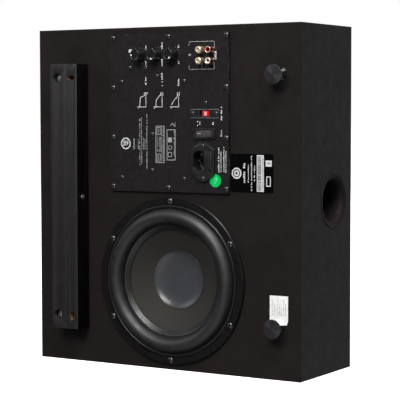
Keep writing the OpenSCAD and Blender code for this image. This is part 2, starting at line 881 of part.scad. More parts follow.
module wall_cleat() {
    color([0.18, 0.18, 0.19]) difference() {
        cleat_half([
            [cleat_end_x, -cleat_bottom], [cleat_end_x, -cleat_t], [cleat_seam_x + gap / 2, -cleat_t],
            [cleat_seam_x + gap / 2 - bevel_run * (1 - cleat_bottom / cleat_t), -cleat_bottom]
        ]);
        slot(62, 6.5, 10.5);
        slot(367.5, 10.5, 5.5);
        translate([cleat_end_x - cab_w / 2 - 30, rear_y - 14, 215]) rotate([0, 90, 0])
            cylinder(h = 40, r = 1.9);
    }
}

module cleat_screws() {
    color([0.6, 0.6, 0.6]) screws([for (z = [62.5, 367.5]) [cleat_x + 9.7, z]], cleat_t - 8, 4.4, 3, 2, 30);
}

module lock_screw() {
    color([0.55, 0.55, 0.56]) translate([cleat_end_x - cab_w / 2, rear_y - 14, 215]) rotate([0, 90, 0])
        pan_screw(3.2, 2, 1.7, 19);
}

// Low domes on the baffle, with bores for the studs.
module foot_bases() {
    dome_r = (foot_base_r * foot_base_r + foot_base_h * foot_base_h) / (2 * foot_base_h);
    rim_turn = asin((dome_r - foot_base_h) / dome_r);
    color([0.05, 0.05, 0.055]) for (spot = foot_spots) on_rear(spot[0], spot[1]) difference() {
        rotate_extrude() polygon(concat(
            [[0, 0]], arc([0, foot_base_h - dome_r], dome_r, rim_turn, 90)
        ));
        translate([0, 0, -1]) cylinder(h = foot_base_h + 2, r = foot_stud_r + touch);
    }
}

// A rubber head with its boss, moulded on a stud.
module foot_bumper(spot) {
    boss = [6.5, 9.5];
    head_base = foot_top - 2.6;
    color([0.15, 0.15, 0.16]) on_rear(spot[0], spot[1]) {
        rotate_extrude() polygon([
            [0, boss[1]], [boss[0] - 0.6, boss[1]], [boss[0], boss[1] + 0.6], [boss[0], head_base],
            [foot_head_r - 0.4, head_base], [foot_head_r, head_base + 0.5],
            [foot_head_r, foot_top - 1.1], [foot_head_r - 0.6, foot_top - 0.5], [3, foot_top], [0, foot_top]
        ]);
        translate([0, 0, -20]) cylinder(h = 20 + boss[1], r = foot_stud_r);
    }
}

module upper_foot_bumper() {
    foot_bumper(foot_spots[1]);
}

module lower_foot_bumper() {
    foot_bumper(foot_spots[0]);
}

module rating_label() {
    color([0.02, 0.02, 0.02]) rounded_plate(290.6, 226, 59.2, 47, 1.5, 0, label_t);
}

// Its lower edge is cut out round the foot's base.
module paper_sticker() {
    corner = [345, 67.8];
    foot = foot_spots[0] - corner;
    color([0.92, 0.92, 0.9]) on_rear(corner[0], corner[1]) linear_extrude(label_t) difference() {
        polygon([[0, 0], [23.2, 0], [25, 4.5], [25, 35], [0, 35]]);
        translate(foot) circle(foot_base_r + 0.15);
    }
}

// A round sticker trimmed along the inlet's flange.
module round_sticker() {
    trim = 0.1;
    color([0.1, 0.75, 0.35]) difference() {
        on_rear(270.8, 239.5) translate([0, 0, plate_top]) cylinder(h = label_t, r = 7.9);
        translate([trim, 0, -trim]) inlet_flange();
    }
}

front_panel();
rear_baffle();
left_side();
right_side();
top_side();
bottom_side();
braces();
port_flare();
port_duct();
woofer_frame();
trim_ring();
surround();
cone();
dust_cap();
coil_former();
coil_winding();
spider();
top_plate();
magnet();
back_plate();
woofer_terminals();
woofer_screws();
amp_gasket();
amp_plate();
amp_screws();
small_screws();
circuit_board();
transformer();
heat_sink();
capacitors();
pot_bodies();
level_knob();
crossover_knob();
phase_knob();
phono_block();
phono_barrels();
red_insulators();
white_insulators();
phono_contacts();
upper_phono_cap();
lower_phono_cap();
selector_body();
selector_slider();
rocker_bezel();
rocker_paddle();
inlet_body();
inlet_pins();
fuse_drawer();
fuse();
speaker_leads();
cabinet_cleat();
wall_cleat();
cleat_screws();
lock_screw();
foot_bases();
upper_foot_bumper();
lower_foot_bumper();
rating_label();
paper_sticker();
round_sticker();
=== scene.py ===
"""An on-wall subwoofer seen from its wall side: finishes, fine shapes and printing on the frame."""

import json
import math
import bmesh
import bpy
from mathutils import Matrix, Vector

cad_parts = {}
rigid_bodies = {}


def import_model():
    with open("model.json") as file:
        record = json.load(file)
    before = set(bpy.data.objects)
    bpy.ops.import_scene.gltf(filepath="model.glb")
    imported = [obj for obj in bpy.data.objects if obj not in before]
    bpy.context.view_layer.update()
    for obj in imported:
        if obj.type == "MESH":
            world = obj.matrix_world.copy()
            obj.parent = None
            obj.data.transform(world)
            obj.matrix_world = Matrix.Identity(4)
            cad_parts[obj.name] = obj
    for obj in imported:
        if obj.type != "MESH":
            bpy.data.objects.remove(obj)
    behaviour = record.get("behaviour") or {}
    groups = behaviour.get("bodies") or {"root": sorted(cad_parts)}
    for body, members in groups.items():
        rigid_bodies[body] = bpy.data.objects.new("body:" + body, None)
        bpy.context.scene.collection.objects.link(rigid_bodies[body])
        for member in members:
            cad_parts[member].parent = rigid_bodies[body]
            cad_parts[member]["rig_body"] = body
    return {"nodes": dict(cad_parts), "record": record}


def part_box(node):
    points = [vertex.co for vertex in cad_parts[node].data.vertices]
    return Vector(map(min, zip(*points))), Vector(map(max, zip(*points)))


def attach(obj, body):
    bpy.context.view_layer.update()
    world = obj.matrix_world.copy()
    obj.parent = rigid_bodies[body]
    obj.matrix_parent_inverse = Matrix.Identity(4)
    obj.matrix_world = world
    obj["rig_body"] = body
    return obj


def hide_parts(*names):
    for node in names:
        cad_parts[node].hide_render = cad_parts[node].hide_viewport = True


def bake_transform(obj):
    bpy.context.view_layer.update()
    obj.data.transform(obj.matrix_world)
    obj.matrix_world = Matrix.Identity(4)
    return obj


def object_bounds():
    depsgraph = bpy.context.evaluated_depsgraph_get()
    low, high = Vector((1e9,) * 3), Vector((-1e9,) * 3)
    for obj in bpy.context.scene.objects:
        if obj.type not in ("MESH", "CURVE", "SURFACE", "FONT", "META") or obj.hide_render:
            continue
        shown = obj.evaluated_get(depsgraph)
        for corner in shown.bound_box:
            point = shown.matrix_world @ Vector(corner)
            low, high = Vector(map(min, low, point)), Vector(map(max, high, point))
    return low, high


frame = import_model()
cad_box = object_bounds()

MM = 0.001
BODY_OF = {node: obj["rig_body"] for node, obj in frame["nodes"].items()}
SLOT_OF = {part["node"]: part["material_slot"] for part in frame["record"]["subparts"]}
REAR_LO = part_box("rear_baffle")[0]
# Turns local x to the right, y up and z out of the rear face.
FACING_OUT = Matrix(((1, 0, 0), (0, 0, -1), (0, 1, 0))).to_4x4()


# ---------- places on the rear face, in millimetres ----------

def at(x, z, out=0.0):
    """The point x from the cabinet's left edge, z above its bottom side and out of its rear face."""
    return Vector((REAR_LO.x + x * MM, REAR_LO.y - out * MM, REAR_LO.z + z * MM))


def placed(x, z, out=0.0):
    """Frame of a part on the rear face: local x to the right, y up and z out, in millimetres."""
    return Matrix.Translation(at(x, z, out)) @ FACING_OUT @ Matrix.Scale(MM, 4)


def span(node):
    """Lowest and highest (x, z, out) of a CAD node, seen on the rear face."""
    lo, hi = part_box(node)
    low = ((lo.x - REAR_LO.x) / MM, (lo.z - REAR_LO.z) / MM, (REAR_LO.y - hi.y) / MM)
    high = ((hi.x - REAR_LO.x) / MM, (hi.z - REAR_LO.z) / MM, (REAR_LO.y - lo.y) / MM)
    return low, high


def spot(node):
    """Centre of a CAD node on the rear face."""
    low, high = span(node)
    return (low[0] + high[0]) / 2, (low[1] + high[1]) / 2


def top_of(node):
    """How far a CAD node stands out of the rear face."""
    return span(node)[1][2]


def round_node(node):
    """Radius, bottom and top of a round CAD node whose axis points out of the rear face."""
    low, high = span(node)
    return (high[0] - low[0]) / 2, low[2], high[2]


# ---------- outlines ----------

def arc(centre, radius, start, end, steps=12):
    """Points of an arc, with its angles in degrees."""
    turns = [math.radians(start + (end - start) * i / steps) for i in range(steps + 1)]
    return [(centre[0] + radius * math.cos(t), centre[1] + radius * math.sin(t)) for t in turns]


def circle(radius, centre=(0, 0), steps=48):
    return arc(centre, radius, 0, 360, steps)[:-1]


def rectangle(x0, y0, x1, y1):
    return [(x0, y0), (x1, y0), (x1, y1), (x0, y1)]


def eased(points, radius, steps=4, closed=True):
    """The outline with its corners rounded off."""
    smooth = []
    for i, point in enumerate(points):
        if not closed and i in (0, len(points) - 1):
            smooth.append(tuple(point))
            continue
        corner = Vector(point)
        before = Vector(points[i - 1]) - corner
        after = Vector(points[(i + 1) % len(points)]) - corner
        cut = min(radius, before.length * 0.48, after.length * 0.48)
        start = corner + before.normalized() * cut
        end = corner + after.normalized() * cut
        for k in range(steps + 1):
            t = k / steps
            smooth.append(tuple(start * (1 - t) ** 2 + corner * (2 * t * (1 - t)) + end * t * t))
    return smooth


# ---------- solids ----------

def skin(bm, rings, closed=False):
    """Joins rings of vertices with faces. A ring of one vertex is a tip."""
    pairs = list(zip(rings, rings[1:])) + ([(rings[-1], rings[0])] if closed else [])
    for low, high in pairs:
        count = max(len(low), len(high))
        for i in range(count):
            j = (i + 1) % count
            corners = [low[i % len(low)], low[j % len(low)], high[j % len(high)], high[i % len(high)]]
            corners = [v for k, v in enumerate(corners) if v not in corners[:k]]
            if len(corners) > 2:
                bm.faces.new(corners)


def capped(bm, rings):
    """Joins rings of vertices with faces and closes both ends."""
    skin(bm, rings)
    bm.faces.new(rings[0][::-1])
    bm.faces.new(rings[-1])


def lathe(bm, place, profile, segments=96, closed=False, swell=None):
    """Revolves (radius, height) points about local z. swell(radius, height, turn) gives a changed radius."""
    rings = []
    for radius, height in profile:
        if radius < 1e-6:
            rings.append([bm.verts.new(place @ Vector((0, 0, height)))])
            continue
        ring = []
        for i in range(segments):
            turn = 2 * math.pi * i / segments
            r = swell(radius, height, turn) if swell else radius
            ring.append(bm.verts.new(place @ Vector((r * math.cos(turn), r * math.sin(turn), height))))
        rings.append(ring)
    skin(bm, rings, closed)


def revolved(where, profile, segments, **how):
    """A new bmesh with one profile revolved about an axis out of the rear face."""
    bm = bmesh.new()
    lathe(bm, placed(*where), profile, segments, **how)
    return bm


def prism(bm, place, outline, bottom, top):
    """Extrudes an outline along local z."""
    capped(bm, [[bm.verts.new(place @ Vector((*point, h))) for point in outline] for h in (bottom, top)])


def stroke(bm, place, points, width, bottom, top, closed=False):
    """A flat line of even width through points, with mitred corners."""
    rings = []
    for i, point in enumerate(points):
        here = Vector(point)
        before = here - Vector(points[i - 1])
        after = Vector(points[(i + 1) % len(points)]) - here
        if not closed and i == 0:
            before = after
        if not closed and i == len(points) - 1:
            after = before
        before, after = before.normalized(), after.normalized()
        normal = Vector((-before.y - after.y, before.x + after.x)).normalized()
        lean = max(0.4, normal.dot(Vector((-before.y, before.x))))
        aside = normal * (width / 2 / lean)
        left, right = here + aside, here - aside
        corners = ((left, bottom), (right, bottom), (right, top), (left, top))
        rings.append([bm.verts.new(place @ Vector((*point, height))) for point, height in corners])
    if closed:
        skin(bm, rings, closed)
    else:
        capped(bm, rings)


def joined(*meshes):
    """One bmesh that holds copies of Blender meshes."""
    bm = bmesh.new()
    for mesh in meshes:
        bm.from_mesh(mesh)
    return bm


def as_object(name, bm):
    mesh = bpy.data.meshes.new(name)
    bm.to_mesh(mesh)
    bm.free()
    obj = bpy.data.objects.new(name, mesh)
    bpy.context.scene.collection.objects.link(obj)
    return obj


def baked(obj):
    """A new bmesh of the object with its modifiers applied. The object is removed."""
    bpy.context.view_layer.update()
    mesh = bpy.data.meshes.new_from_object(obj.evaluated_get(bpy.context.evaluated_depsgraph_get()))
    bm = joined(mesh)
    bpy.data.objects.remove(obj)
    bpy.data.meshes.remove(mesh)
    return bm


def cut(bm, tool):
    """bm with tool taken out of it."""
    body, knife = as_object("cut_body", bm), as_object("cut_knife", tool)
    for obj in (body, knife):
        clean = joined(obj.data)
        bmesh.ops.recalc_face_normals(clean, faces=clean.faces)
        clean.to_mesh(obj.data)
        clean.free()
    boolean = body.modifiers.new("cut", "BOOLEAN")
    boolean.operation = "DIFFERENCE"
    boolean.solver = "EXACT"
    boolean.object = knife
    result = baked(body)
    bpy.data.objects.remove(knife)
    return result


def softened(node, width, sharp=30, segments=2):
    """A copy of a CAD node's mesh with its hard edges rounded."""
    bm = joined(frame["nodes"][node].data)
    bmesh.ops.remove_doubles(bm, verts=bm.verts, dist=1e-6)
    bmesh.ops.dissolve_limit(bm, angle_limit=math.radians(1), verts=bm.verts, edges=bm.edges)
    obj = as_object("soft_" + node, bm)
    bevel = obj.modifiers.new("bevel", "BEVEL")
    bevel.width = width * MM
    bevel.segments = segments
    bevel.limit_method = "ANGLE"
    bevel.angle_limit = math.radians(sharp)
    return baked(obj)


# ---------- finishes ----------

def linear(r, g, b):
    """A colour given in sRGB as 0 to 255, in linear light."""
    light = [c / 255 / 12.92 if c < 11 else ((c / 255 + 0.055) / 1.055) ** 2.4 for c in (r, g, b)]
    return (*light, 1.0)


def scaled(colour, share):
    return tuple(min(1.0, c * share) for c in colour[:3]) + (1.0,)


class Finish:
    """A procedural material: colour that drifts, roughness that varies and a fine relief."""

    def __init__(self, name, colour, roughness, metallic=0.0, gloss=0.5):
        self.material = bpy.data.materials.new(name)
        self.material.use_nodes = True
        self.tree = self.material.node_tree
        self.shader = self.tree.nodes["Principled BSDF"]
        self.set("Base Color", colour)
        self.set("Roughness", roughness)
        self.set("Metallic", metallic)
        self.set("Specular IOR Level", gloss)
        self.colour = colour
        self.roughness = roughness
        self.paint = None
        self.relief = None
        self.where = self.node("ShaderNodeTexCoord").outputs["Object"]

    def set(self, socket, value):
        self.shader.inputs[socket].default_value = value
        return self

    def node(self, kind, **settings):
        made = self.tree.nodes.new(kind)
        for key, value in settings.items():
            setattr(made, key, value)
        return made

    def link(self, source, target):
        self.tree.links.new(source, target)

    def noise(self, size, detail=3.0, stretch=(1, 1, 1)):
        """Noise with features of about size millimetres."""
        mapping = self.node("ShaderNodeMapping")
        mapping.inputs["Scale"].default_value = stretch
        self.link(self.where, mapping.inputs["Vector"])
        noise = self.node("ShaderNodeTexNoise")
        noise.inputs["Scale"].default_value = 1 / (size * MM)
        noise.inputs["Detail"].default_value = detail
        self.link(mapping.outputs["Vector"], noise.inputs["Vector"])
        return noise.outputs["Fac"]

    def ranged(self, source, low, high, to_low, to_high):
        ranged = self.node("ShaderNodeMapRange")
        for socket, value in zip(("From Min", "From Max", "To Min", "To Max"), (low, high, to_low, to_high)):
            ranged.inputs[socket].default_value = value
        self.link(source, ranged.inputs["Value"])
        return ranged.outputs["Result"]

    def mixed(self, factor, first, second):
        """A colour between two, each a colour or a socket."""
        mix = self.node("ShaderNodeMix", data_type="RGBA")
        self.link(factor, mix.inputs["Factor"])
        for socket, value in (("A", first), ("B", second)):
            target = next(i for i in mix.inputs if i.name == socket and i.type == "RGBA")
            if isinstance(value, tuple):
                target.default_value = value
            else:
                self.link(value, target)
        return next(o for o in mix.outputs if o.type == "RGBA")

    def drift(self, size, amount, tint=None):
        """The colour wanders by amount over patches of the given size, towards tint if one is given."""
        base = self.paint or self.colour
        other = tint or scaled(self.colour, 1 + amount)
        first = scaled(self.colour, 1 - amount) if self.paint is None else base
        self.paint = self.mixed(self.ranged(self.noise(size), 0.3, 0.7, 0, 1), first, other)
        self.link(self.paint, self.shader.inputs["Base Color"])
        return self

    def vary(self, size, amount):
        """The roughness varies by amount either way."""
        low, high = max(0.02, self.roughness - amount), min(1.0, self.roughness + amount)
        varied = self.ranged(self.noise(size), 0.3, 0.7, low, high)
        self.link(varied, self.shader.inputs["Roughness"])
        return self

    def bump(self, source, depth):
        """Relief depth millimetres high. Calls add up."""
        bump = self.node("ShaderNodeBump")
        bump.inputs["Strength"].default_value = 1.0
        bump.inputs["Distance"].default_value = depth * MM
        self.link(source, bump.inputs["Height"])
        if self.relief:
            self.link(self.relief, bump.inputs["Normal"])
        self.relief = bump.outputs["Normal"]
        self.link(self.relief, self.shader.inputs["Normal"])
        return self

    def grain(self, size, depth, stretch=(1, 1, 1), detail=3.0):
        return self.bump(self.noise(size, detail, stretch), depth)

    def edge_wear_and_highlight(self, radius, colour, patch=6, least=0.08):
        """Edges turned another colour, in patches: rubbed-through wear on most finishes, and a painted
        highlight along the port's rim.
        """
        bevel = self.node("ShaderNodeBevel", samples=4)
        bevel.inputs["Radius"].default_value = radius * MM
        flat = self.node("ShaderNodeNewGeometry").outputs["Normal"]
        dot = self.node("ShaderNodeVectorMath", operation="DOT_PRODUCT")
        self.link(bevel.outputs["Normal"], dot.inputs[0])
        self.link(flat, dot.inputs[1])
        edge = self.ranged(dot.outputs["Value"], 1 - least, 1 - least * 3, 0, 1)
        edge_patches = self.ranged(self.noise(patch, 5), 0.5, 0.66, 0, 1)
        product = self.node("ShaderNodeMath", operation="MULTIPLY")
        self.link(edge, product.inputs[0])
        self.link(edge_patches, product.inputs[1])
        self.paint = self.mixed(product.outputs["Value"], self.paint or self.colour, colour)
        self.link(self.paint, self.shader.inputs["Base Color"])
        return self


def turned(finish, amount):
    """Highlights that follow the turning marks about local Y."""
    finish.set("Anisotropic", amount)
    tangent = finish.node("ShaderNodeTangent", direction_type="RADIAL", axis="Y")
    finish.link(tangent.outputs["Tangent"], finish.shader.inputs["Tangent"])
    return finish


def cabinet_paint():
    finish = Finish("cabinet_paint", linear(30, 26, 26), 0.46, gloss=0.15)
    finish.drift(60, 0.12).vary(9, 0.06).grain(1.1, 0.05).grain(0.35, 0.02)
    return finish.edge_wear_and_highlight(1.0, linear(58, 52, 48), patch=14)


def raw_board():
    finish = Finish("raw_board", linear(116, 88, 66), 0.85, gloss=0.2)
    return finish.drift(2.5, 0.22).drift(0.7, 0.1, linear(104, 72, 46)).vary(2, 0.08).grain(0.5, 0.12)


def port_plastic():
    finish = Finish("port_plastic", linear(38, 33, 35), 0.6, gloss=0.12)
    finish.drift(20, 0.1).vary(4, 0.06).grain(0.5, 0.03)
    # The lighter colour on the port's edges is a painted highlight along the flare's rim, not wear.
    return finish.edge_wear_and_highlight(1.2, linear(92, 88, 90), patch=60, least=0.04)


def cast_frame():
    finish = Finish("cast_frame", linear(17, 15, 16), 0.34, gloss=0.35)
    return finish.drift(18, 0.12).vary(5, 0.07).grain(0.9, 0.03).edge_wear_and_highlight(0.8, linear(84, 84, 86), patch=8)


def surround_rubber():
    finish = Finish("surround_rubber", linear(18, 18, 21), 0.5, gloss=0.75)
    return finish.drift(14, 0.15).vary(7, 0.06).grain(1.6, 0.02).grain(0.3, 0.006)


def cone_paper():
    finish = Finish("cone_paper", linear(41, 39, 37), 0.7, gloss=0.25)
    finish.drift(5, 0.12).drift(0.9, 0.1, linear(46, 44, 40)).vary(2, 0.1)
    return finish.grain(1.4, 0.07, detail=6).grain(0.45, 0.04)


def black_screw():
    finish = Finish("black_screw", linear(84, 84, 86), 0.26, metallic=0.8, gloss=0.5)
    finish.drift(2, 0.15).vary(1, 0.1).grain(0.3, 0.01)
    return finish.edge_wear_and_highlight(0.25, linear(150, 150, 152), patch=1.2)


def amp_panel():
    finish = Finish("amp_panel", linear(27, 24, 26), 0.42, gloss=0.3)
    finish.drift(40, 0.1).vary(6, 0.06).grain(0.7, 0.035).grain(0.25, 0.012)
    return finish.edge_wear_and_highlight(0.5, linear(92, 92, 96), patch=10)


def fuse_glass():
    finish = Finish("fuse_glass", linear(214, 222, 214), 0.08)
    return finish.drift(2, 0.05).vary(1, 0.04).grain(1.0, 0.003).set("Transmission Weight", 0.5)


def cleat_paint():
    finish = Finish("cleat_paint", linear(34, 32, 33), 0.46, gloss=0.35)
    finish.drift(24, 0.14).vary(5, 0.08).grain(1.3, 0.06).grain(0.4, 0.025)
    return finish.edge_wear_and_highlight(0.9, linear(98, 82, 66), patch=9)


def foot_rubber():
    finish = Finish("foot_rubber", linear(35, 34, 38), 0.42, gloss=0.4)
    return turned(finish.drift(5, 0.1).vary(2, 0.06).grain(0.35, 0.015), 0.7)


def paper():
    finish = Finish("paper", linear(250, 250, 250), 0.7, gloss=0.3)
    return finish.drift(6, 0.03).drift(0.8, 0.02, linear(238, 238, 238)).vary(2, 0.06).grain(0.5, 0.01)


def plain(name, colour, roughness, drift, vary, grain, **shader):
    """A finish with one drift of colour, one of roughness and one grain."""
    return Finish(name, linear(*colour), roughness, **shader).drift(*drift).vary(*vary).grain(*grain)


def ink(name, colour):
    return plain(name, colour, 0.5, (1.5, 0.05), (1, 0.08), (0.3, 0.006), gloss=0.3).material


METAL = {"metallic": 1.0}

# Colour, roughness, drift, variation of roughness, grain, and what else the shader takes.
PLAIN = {
    "trim_rubber": ((20, 19, 21), 0.36, (12, 0.1), (4, 0.06), (0.6, 0.02), {"gloss": 0.45}),
    "cap_poly": ((62, 63, 67), 0.3, (9, 0.08), (3, 0.04), (1.2, 0.01), {"gloss": 0.5}),
    "former_kapton": ((176, 120, 48), 0.3, (8, 0.1), (3, 0.06), (0.8, 0.01), {}),
    "copper": ((196, 118, 74), 0.3, (3, 0.12), (1.5, 0.08), (0.5, 0.08, (0.2, 3, 0.2)), METAL),
    "spider_cloth": ((188, 158, 92), 0.8, (2, 0.15), (1, 0.08), (0.7, 0.12), {"gloss": 0.25}),
    "plated_steel": ((166, 168, 172), 0.34, (10, 0.08), (3, 0.1), (0.4, 0.01, (1, 6, 1)), METAL),
    "ferrite": ((58, 58, 60), 0.6, (4, 0.15), (2, 0.1), (0.6, 0.04), {}),
    "terminal": ((196, 168, 110), 0.35, (2, 0.1), (1, 0.1), (0.4, 0.01), METAL),
    "steel_screw": ((206, 206, 208), 0.42, (2, 0.12), (1, 0.1), (0.3, 0.01), METAL),
    "foam": ((20, 20, 20), 0.95, (1, 0.2), (1, 0.03), (0.4, 0.08), {"gloss": 0.1}),
    "board_green": ((40, 110, 62), 0.35, (6, 0.1), (2, 0.08), (1.2, 0.02), {}),
    "winding_tape": ((190, 160, 60), 0.4, (4, 0.12), (2, 0.08), (1.5, 0.1), {}),
    "aluminium": ((184, 184, 188), 0.35, (6, 0.05), (2, 0.08), (0.4, 0.01, (6, 6, 0.3)), METAL),
    "can_sleeve": ((38, 48, 86), 0.25, (5, 0.1), (2, 0.06), (1.0, 0.01), {}),
    "pot_metal": ((150, 152, 156), 0.38, (4, 0.1), (1, 0.1), (0.4, 0.01), METAL),
    "knob_plastic": ((26, 26, 28), 0.26, (3, 0.12), (1.5, 0.06), (0.4, 0.008), {"gloss": 0.5}),
    "socket_plastic": ((31, 31, 33), 0.34, (6, 0.1), (2, 0.07), (0.4, 0.015), {"gloss": 0.45}),
    "rocker_satin": ((72, 69, 70), 0.38, (5, 0.1), (2, 0.06), (0.4, 0.012), {"gloss": 0.5}),
    "barrel_gold": ((178, 148, 122), 0.3, (3, 0.06), (1, 0.06), (0.3, 0.006), METAL),
    "contact_brass": ((92, 70, 48), 0.4, (1, 0.1), (1, 0.08), (0.3, 0.005), METAL),
    "gold": (
        (252, 232, 212), 0.4, (3, 0.06, linear(250, 226, 196)), (1, 0.06), (0.3, 0.006), {"metallic": 0.9}
    ),
    "red_plastic": ((170, 16, 16), 0.3, (3, 0.08), (1, 0.06), (0.4, 0.008), {}),
    "white_plastic": ((236, 236, 232), 0.35, (3, 0.04), (1, 0.06), (0.4, 0.008), {}),
    "pin_brass": ((120, 116, 108), 0.28, (2, 0.08), (1, 0.08), (0.4, 0.01, (1, 0.3, 1)), METAL),
    "lead_jacket": ((170, 30, 24), 0.45, (4, 0.1), (2, 0.08), (0.5, 0.01), {}),
    # Near-black paint for the wall cleat's right side: painted shade standing for the shadow on that side.
    "painted_shade_black": ((9, 9, 10), 0.6, (24, 0.14), (5, 0.08), (1.3, 0.06), {"gloss": 0.1}),
    "lip_rubber": ((20, 19, 20), 0.4, (14, 0.15), (7, 0.05), (1.6, 0.02), {"gloss": 0.8}),
    "foot_gloss": ((16, 16, 17), 0.2, (4, 0.12), (2, 0.05), (0.5, 0.006), {"gloss": 0.5}),
    "label_black": ((6, 6, 7), 0.16, (10, 0.2), (4, 0.04), (3, 0.01), {"gloss": 0.4}),
    "sticker_green": ((0, 190, 90), 0.6, (4, 0.06), (2, 0.06), (0.6, 0.01), {"gloss": 0.08}),
}

FINISHES = {
    make.__name__: make().material
    for make in (
        cabinet_paint, raw_board, port_plastic, cast_frame, surround_rubber, cone_paper, black_screw,
        amp_panel, fuse_glass, cleat_paint, foot_rubber, paper,
    )
}
FINISHES.update({name: plain(name, *row[:-1], **row[-1]).material for name, row in PLAIN.items()})
PLATE_INK = ink("plate_ink", (152, 152, 155))
WHITE_INK = ink("white_ink", (205, 205, 206))
DARK_INK = ink("dark_ink", (38, 38, 40))
FAINT_INK = ink("faint_ink", (176, 176, 172))


# ---------- pieces ----------

def shade(mesh, sharp):
    mesh.shade_smooth()
    mesh.set_sharp_from_angle(angle=math.radians(sharp))


def piece(name, bm, body, slot=None, material=None, replaces=(), sharp=32):
    """A finished piece that rides on a body, takes its finish from a slot and may stand for CAD nodes."""
    bmesh.ops.recalc_face_normals(bm, faces=bm.faces)
    obj = as_object(name, bm)
    shade(obj.data, sharp)
    obj.data.materials.clear()
    obj.data.materials.append(material or FINISHES[slot])
    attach(obj, body)
    if replaces:
        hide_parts(*replaces)
    return obj


def stand_in(node, bm, sharp=32, material=None):
    """A detailed piece for one CAD node, with that node's body and finish."""
    return piece(node + "_detailed", bm, BODY_OF[node], SLOT_OF[node], material, [node], sharp)


def second_finish(obj, material, wanted, index=1):
    """Another material on the faces for which wanted(out, face) holds and that have none yet."""
    obj.data.materials.append(material)
    for face in obj.data.polygons:
        if face.material_index == 0 and wanted((REAR_LO.y - face.center.y) / MM, face):
            face.material_index = index


def dress_cad_nodes():
    """Every CAD node gets its slot's finish and smooth curves."""
    for node, obj in frame["nodes"].items():
        obj.data.materials.clear()
        obj.data.materials.append(FINISHES[SLOT_OF[node]])
        shade(obj.data, 32)


# ---------- woofer ----------

WOOFER = spot("woofer_frame")
CREST_R = 81.0
ROLL_R = 10.0
ROLL_BASE = 2.6
RUBBER = 0.8
LIP_OUTER = (71.0, 2.2)
LIP_INNER = (64.0, -2.1)
# The lip's moulded steps: distance inwards from its outer edge, and rise over its slope.
LIP_STEPS = (
    (0.1, -1.2), (0.9, -1.0), (1.1, 0.1), (1.3, 0.25), (3.0, 0.2), (3.15, 0.0), (3.35, 0.0),
    (3.5, 0.2), (5.0, 0.15), (5.15, -0.05), (5.35, -0.05), (5.5, 0.15), (6.8, 0.1), (7.0, -0.1),
)


def trim_ring():
    outer, bottom, top = round_node("trim_ring")
    inner = 91.3
    bead = [(inner + 0.3, bottom), (outer, bottom), (outer, top - 0.8), (outer - 1.0, top),
            (inner + 1.1, top), (inner, top - 0.9)]
    stand_in("trim_ring", revolved(WOOFER, eased(bead, 0.8, 5), 256, closed=True), 50)


def surround():
    """Half roll in two halves that meet on the crest: the outer one rides on the cabinet, the inner one
    carries the glossy lip.
    """
    crest = (CREST_R, ROLL_BASE)
    outer_lip = round_node("surround")[0]
    flat = ROLL_BASE + RUBBER
    outer = arc(crest, ROLL_R, 90, 5, 20)
    outer += [(outer_lip - 0.3, flat), (outer_lip, flat - 0.3), (outer_lip, ROLL_BASE)]
    outer += arc(crest, ROLL_R - RUBBER, 0, 90, 20)
    bm = revolved(WOOFER, outer, 256)
    piece("surround_outer_half", bm, "cabinet", "surround_rubber", replaces=["surround"], sharp=60)

    slope = (LIP_OUTER[1] - LIP_INNER[1]) / (LIP_OUTER[0] - LIP_INNER[0])
    lip = [(LIP_OUTER[0] - d, LIP_OUTER[1] - slope * d + rise) for d, rise in LIP_STEPS]
    under = [(LIP_INNER[0], LIP_INNER[1] - 0.65), (LIP_OUTER[0] + 0.4, 0.3), (LIP_OUTER[0] + 0.75, 1.0)]
    inner = arc(crest, ROLL_R, 90, 178, 24) + lip + under + arc(crest, ROLL_R - RUBBER, 180, 90, 20)
    bm = revolved(WOOFER, inner, 256)
    bmesh.ops.recalc_face_normals(bm, faces=bm.faces)
    half = as_object("surround_inner_half", bm)
    shade(half.data, 60)
    half.data.materials.append(FINISHES["surround_rubber"])
    middle = at(*WOOFER)
    lip_r = (LIP_OUTER[0] - 1.0) * MM

    def on_lip(out, face):
        return math.dist(face.center.xz, middle.xz) < lip_r

    second_finish(half, FINISHES["lip_rubber"], on_lip)
    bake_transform(half)


def cone():
    """Pulp cone with a slight swell, a seat for the lip and a skin under it."""
    rim_r, neck, rim = round_node("cone")
    neck_r, thick, swell = 19.3, 1.0, 0.5
    seat = (37.0, -16.6)
    steps = 24
    face = []
    for i in range(steps + 1):
        t = i / steps
        r = rim_r + (seat[0] - rim_r) * t
        h = rim + (seat[1] - rim) * t
        face.append((r, h - swell * math.sin(math.pi * t)))
    face.append((neck_r, neck + thick))
    back = [(r, h - thick) for r, h in reversed(face)]
    stand_in("cone", revolved(WOOFER, face + back, 256, closed=True), 40)


def dust_cap():
    """Dished cap, flat in the middle and steep at its rim, with a rolled edge."""
    rim_r, _, rim = round_node("dust_cap")
    sink, thick = 5.2, 0.8
    rings = [rim_r * math.sin(math.pi / 2 * i / 40) for i in range(40)]
    face = [(r, rim - sink * (1 - (r / rim_r) ** 6)) for r in rings]
    back = [(max(0.0, r - thick * (r / rim_r) ** 2), h - thick) for r, h in reversed(face)]
    edge = [(rim_r - 0.1, rim + 0.02), (rim_r, rim - 0.2), (rim_r - 0.05, rim - 0.7)]
    stand_in("dust_cap", revolved(WOOFER, face + edge + back, 192), 60)


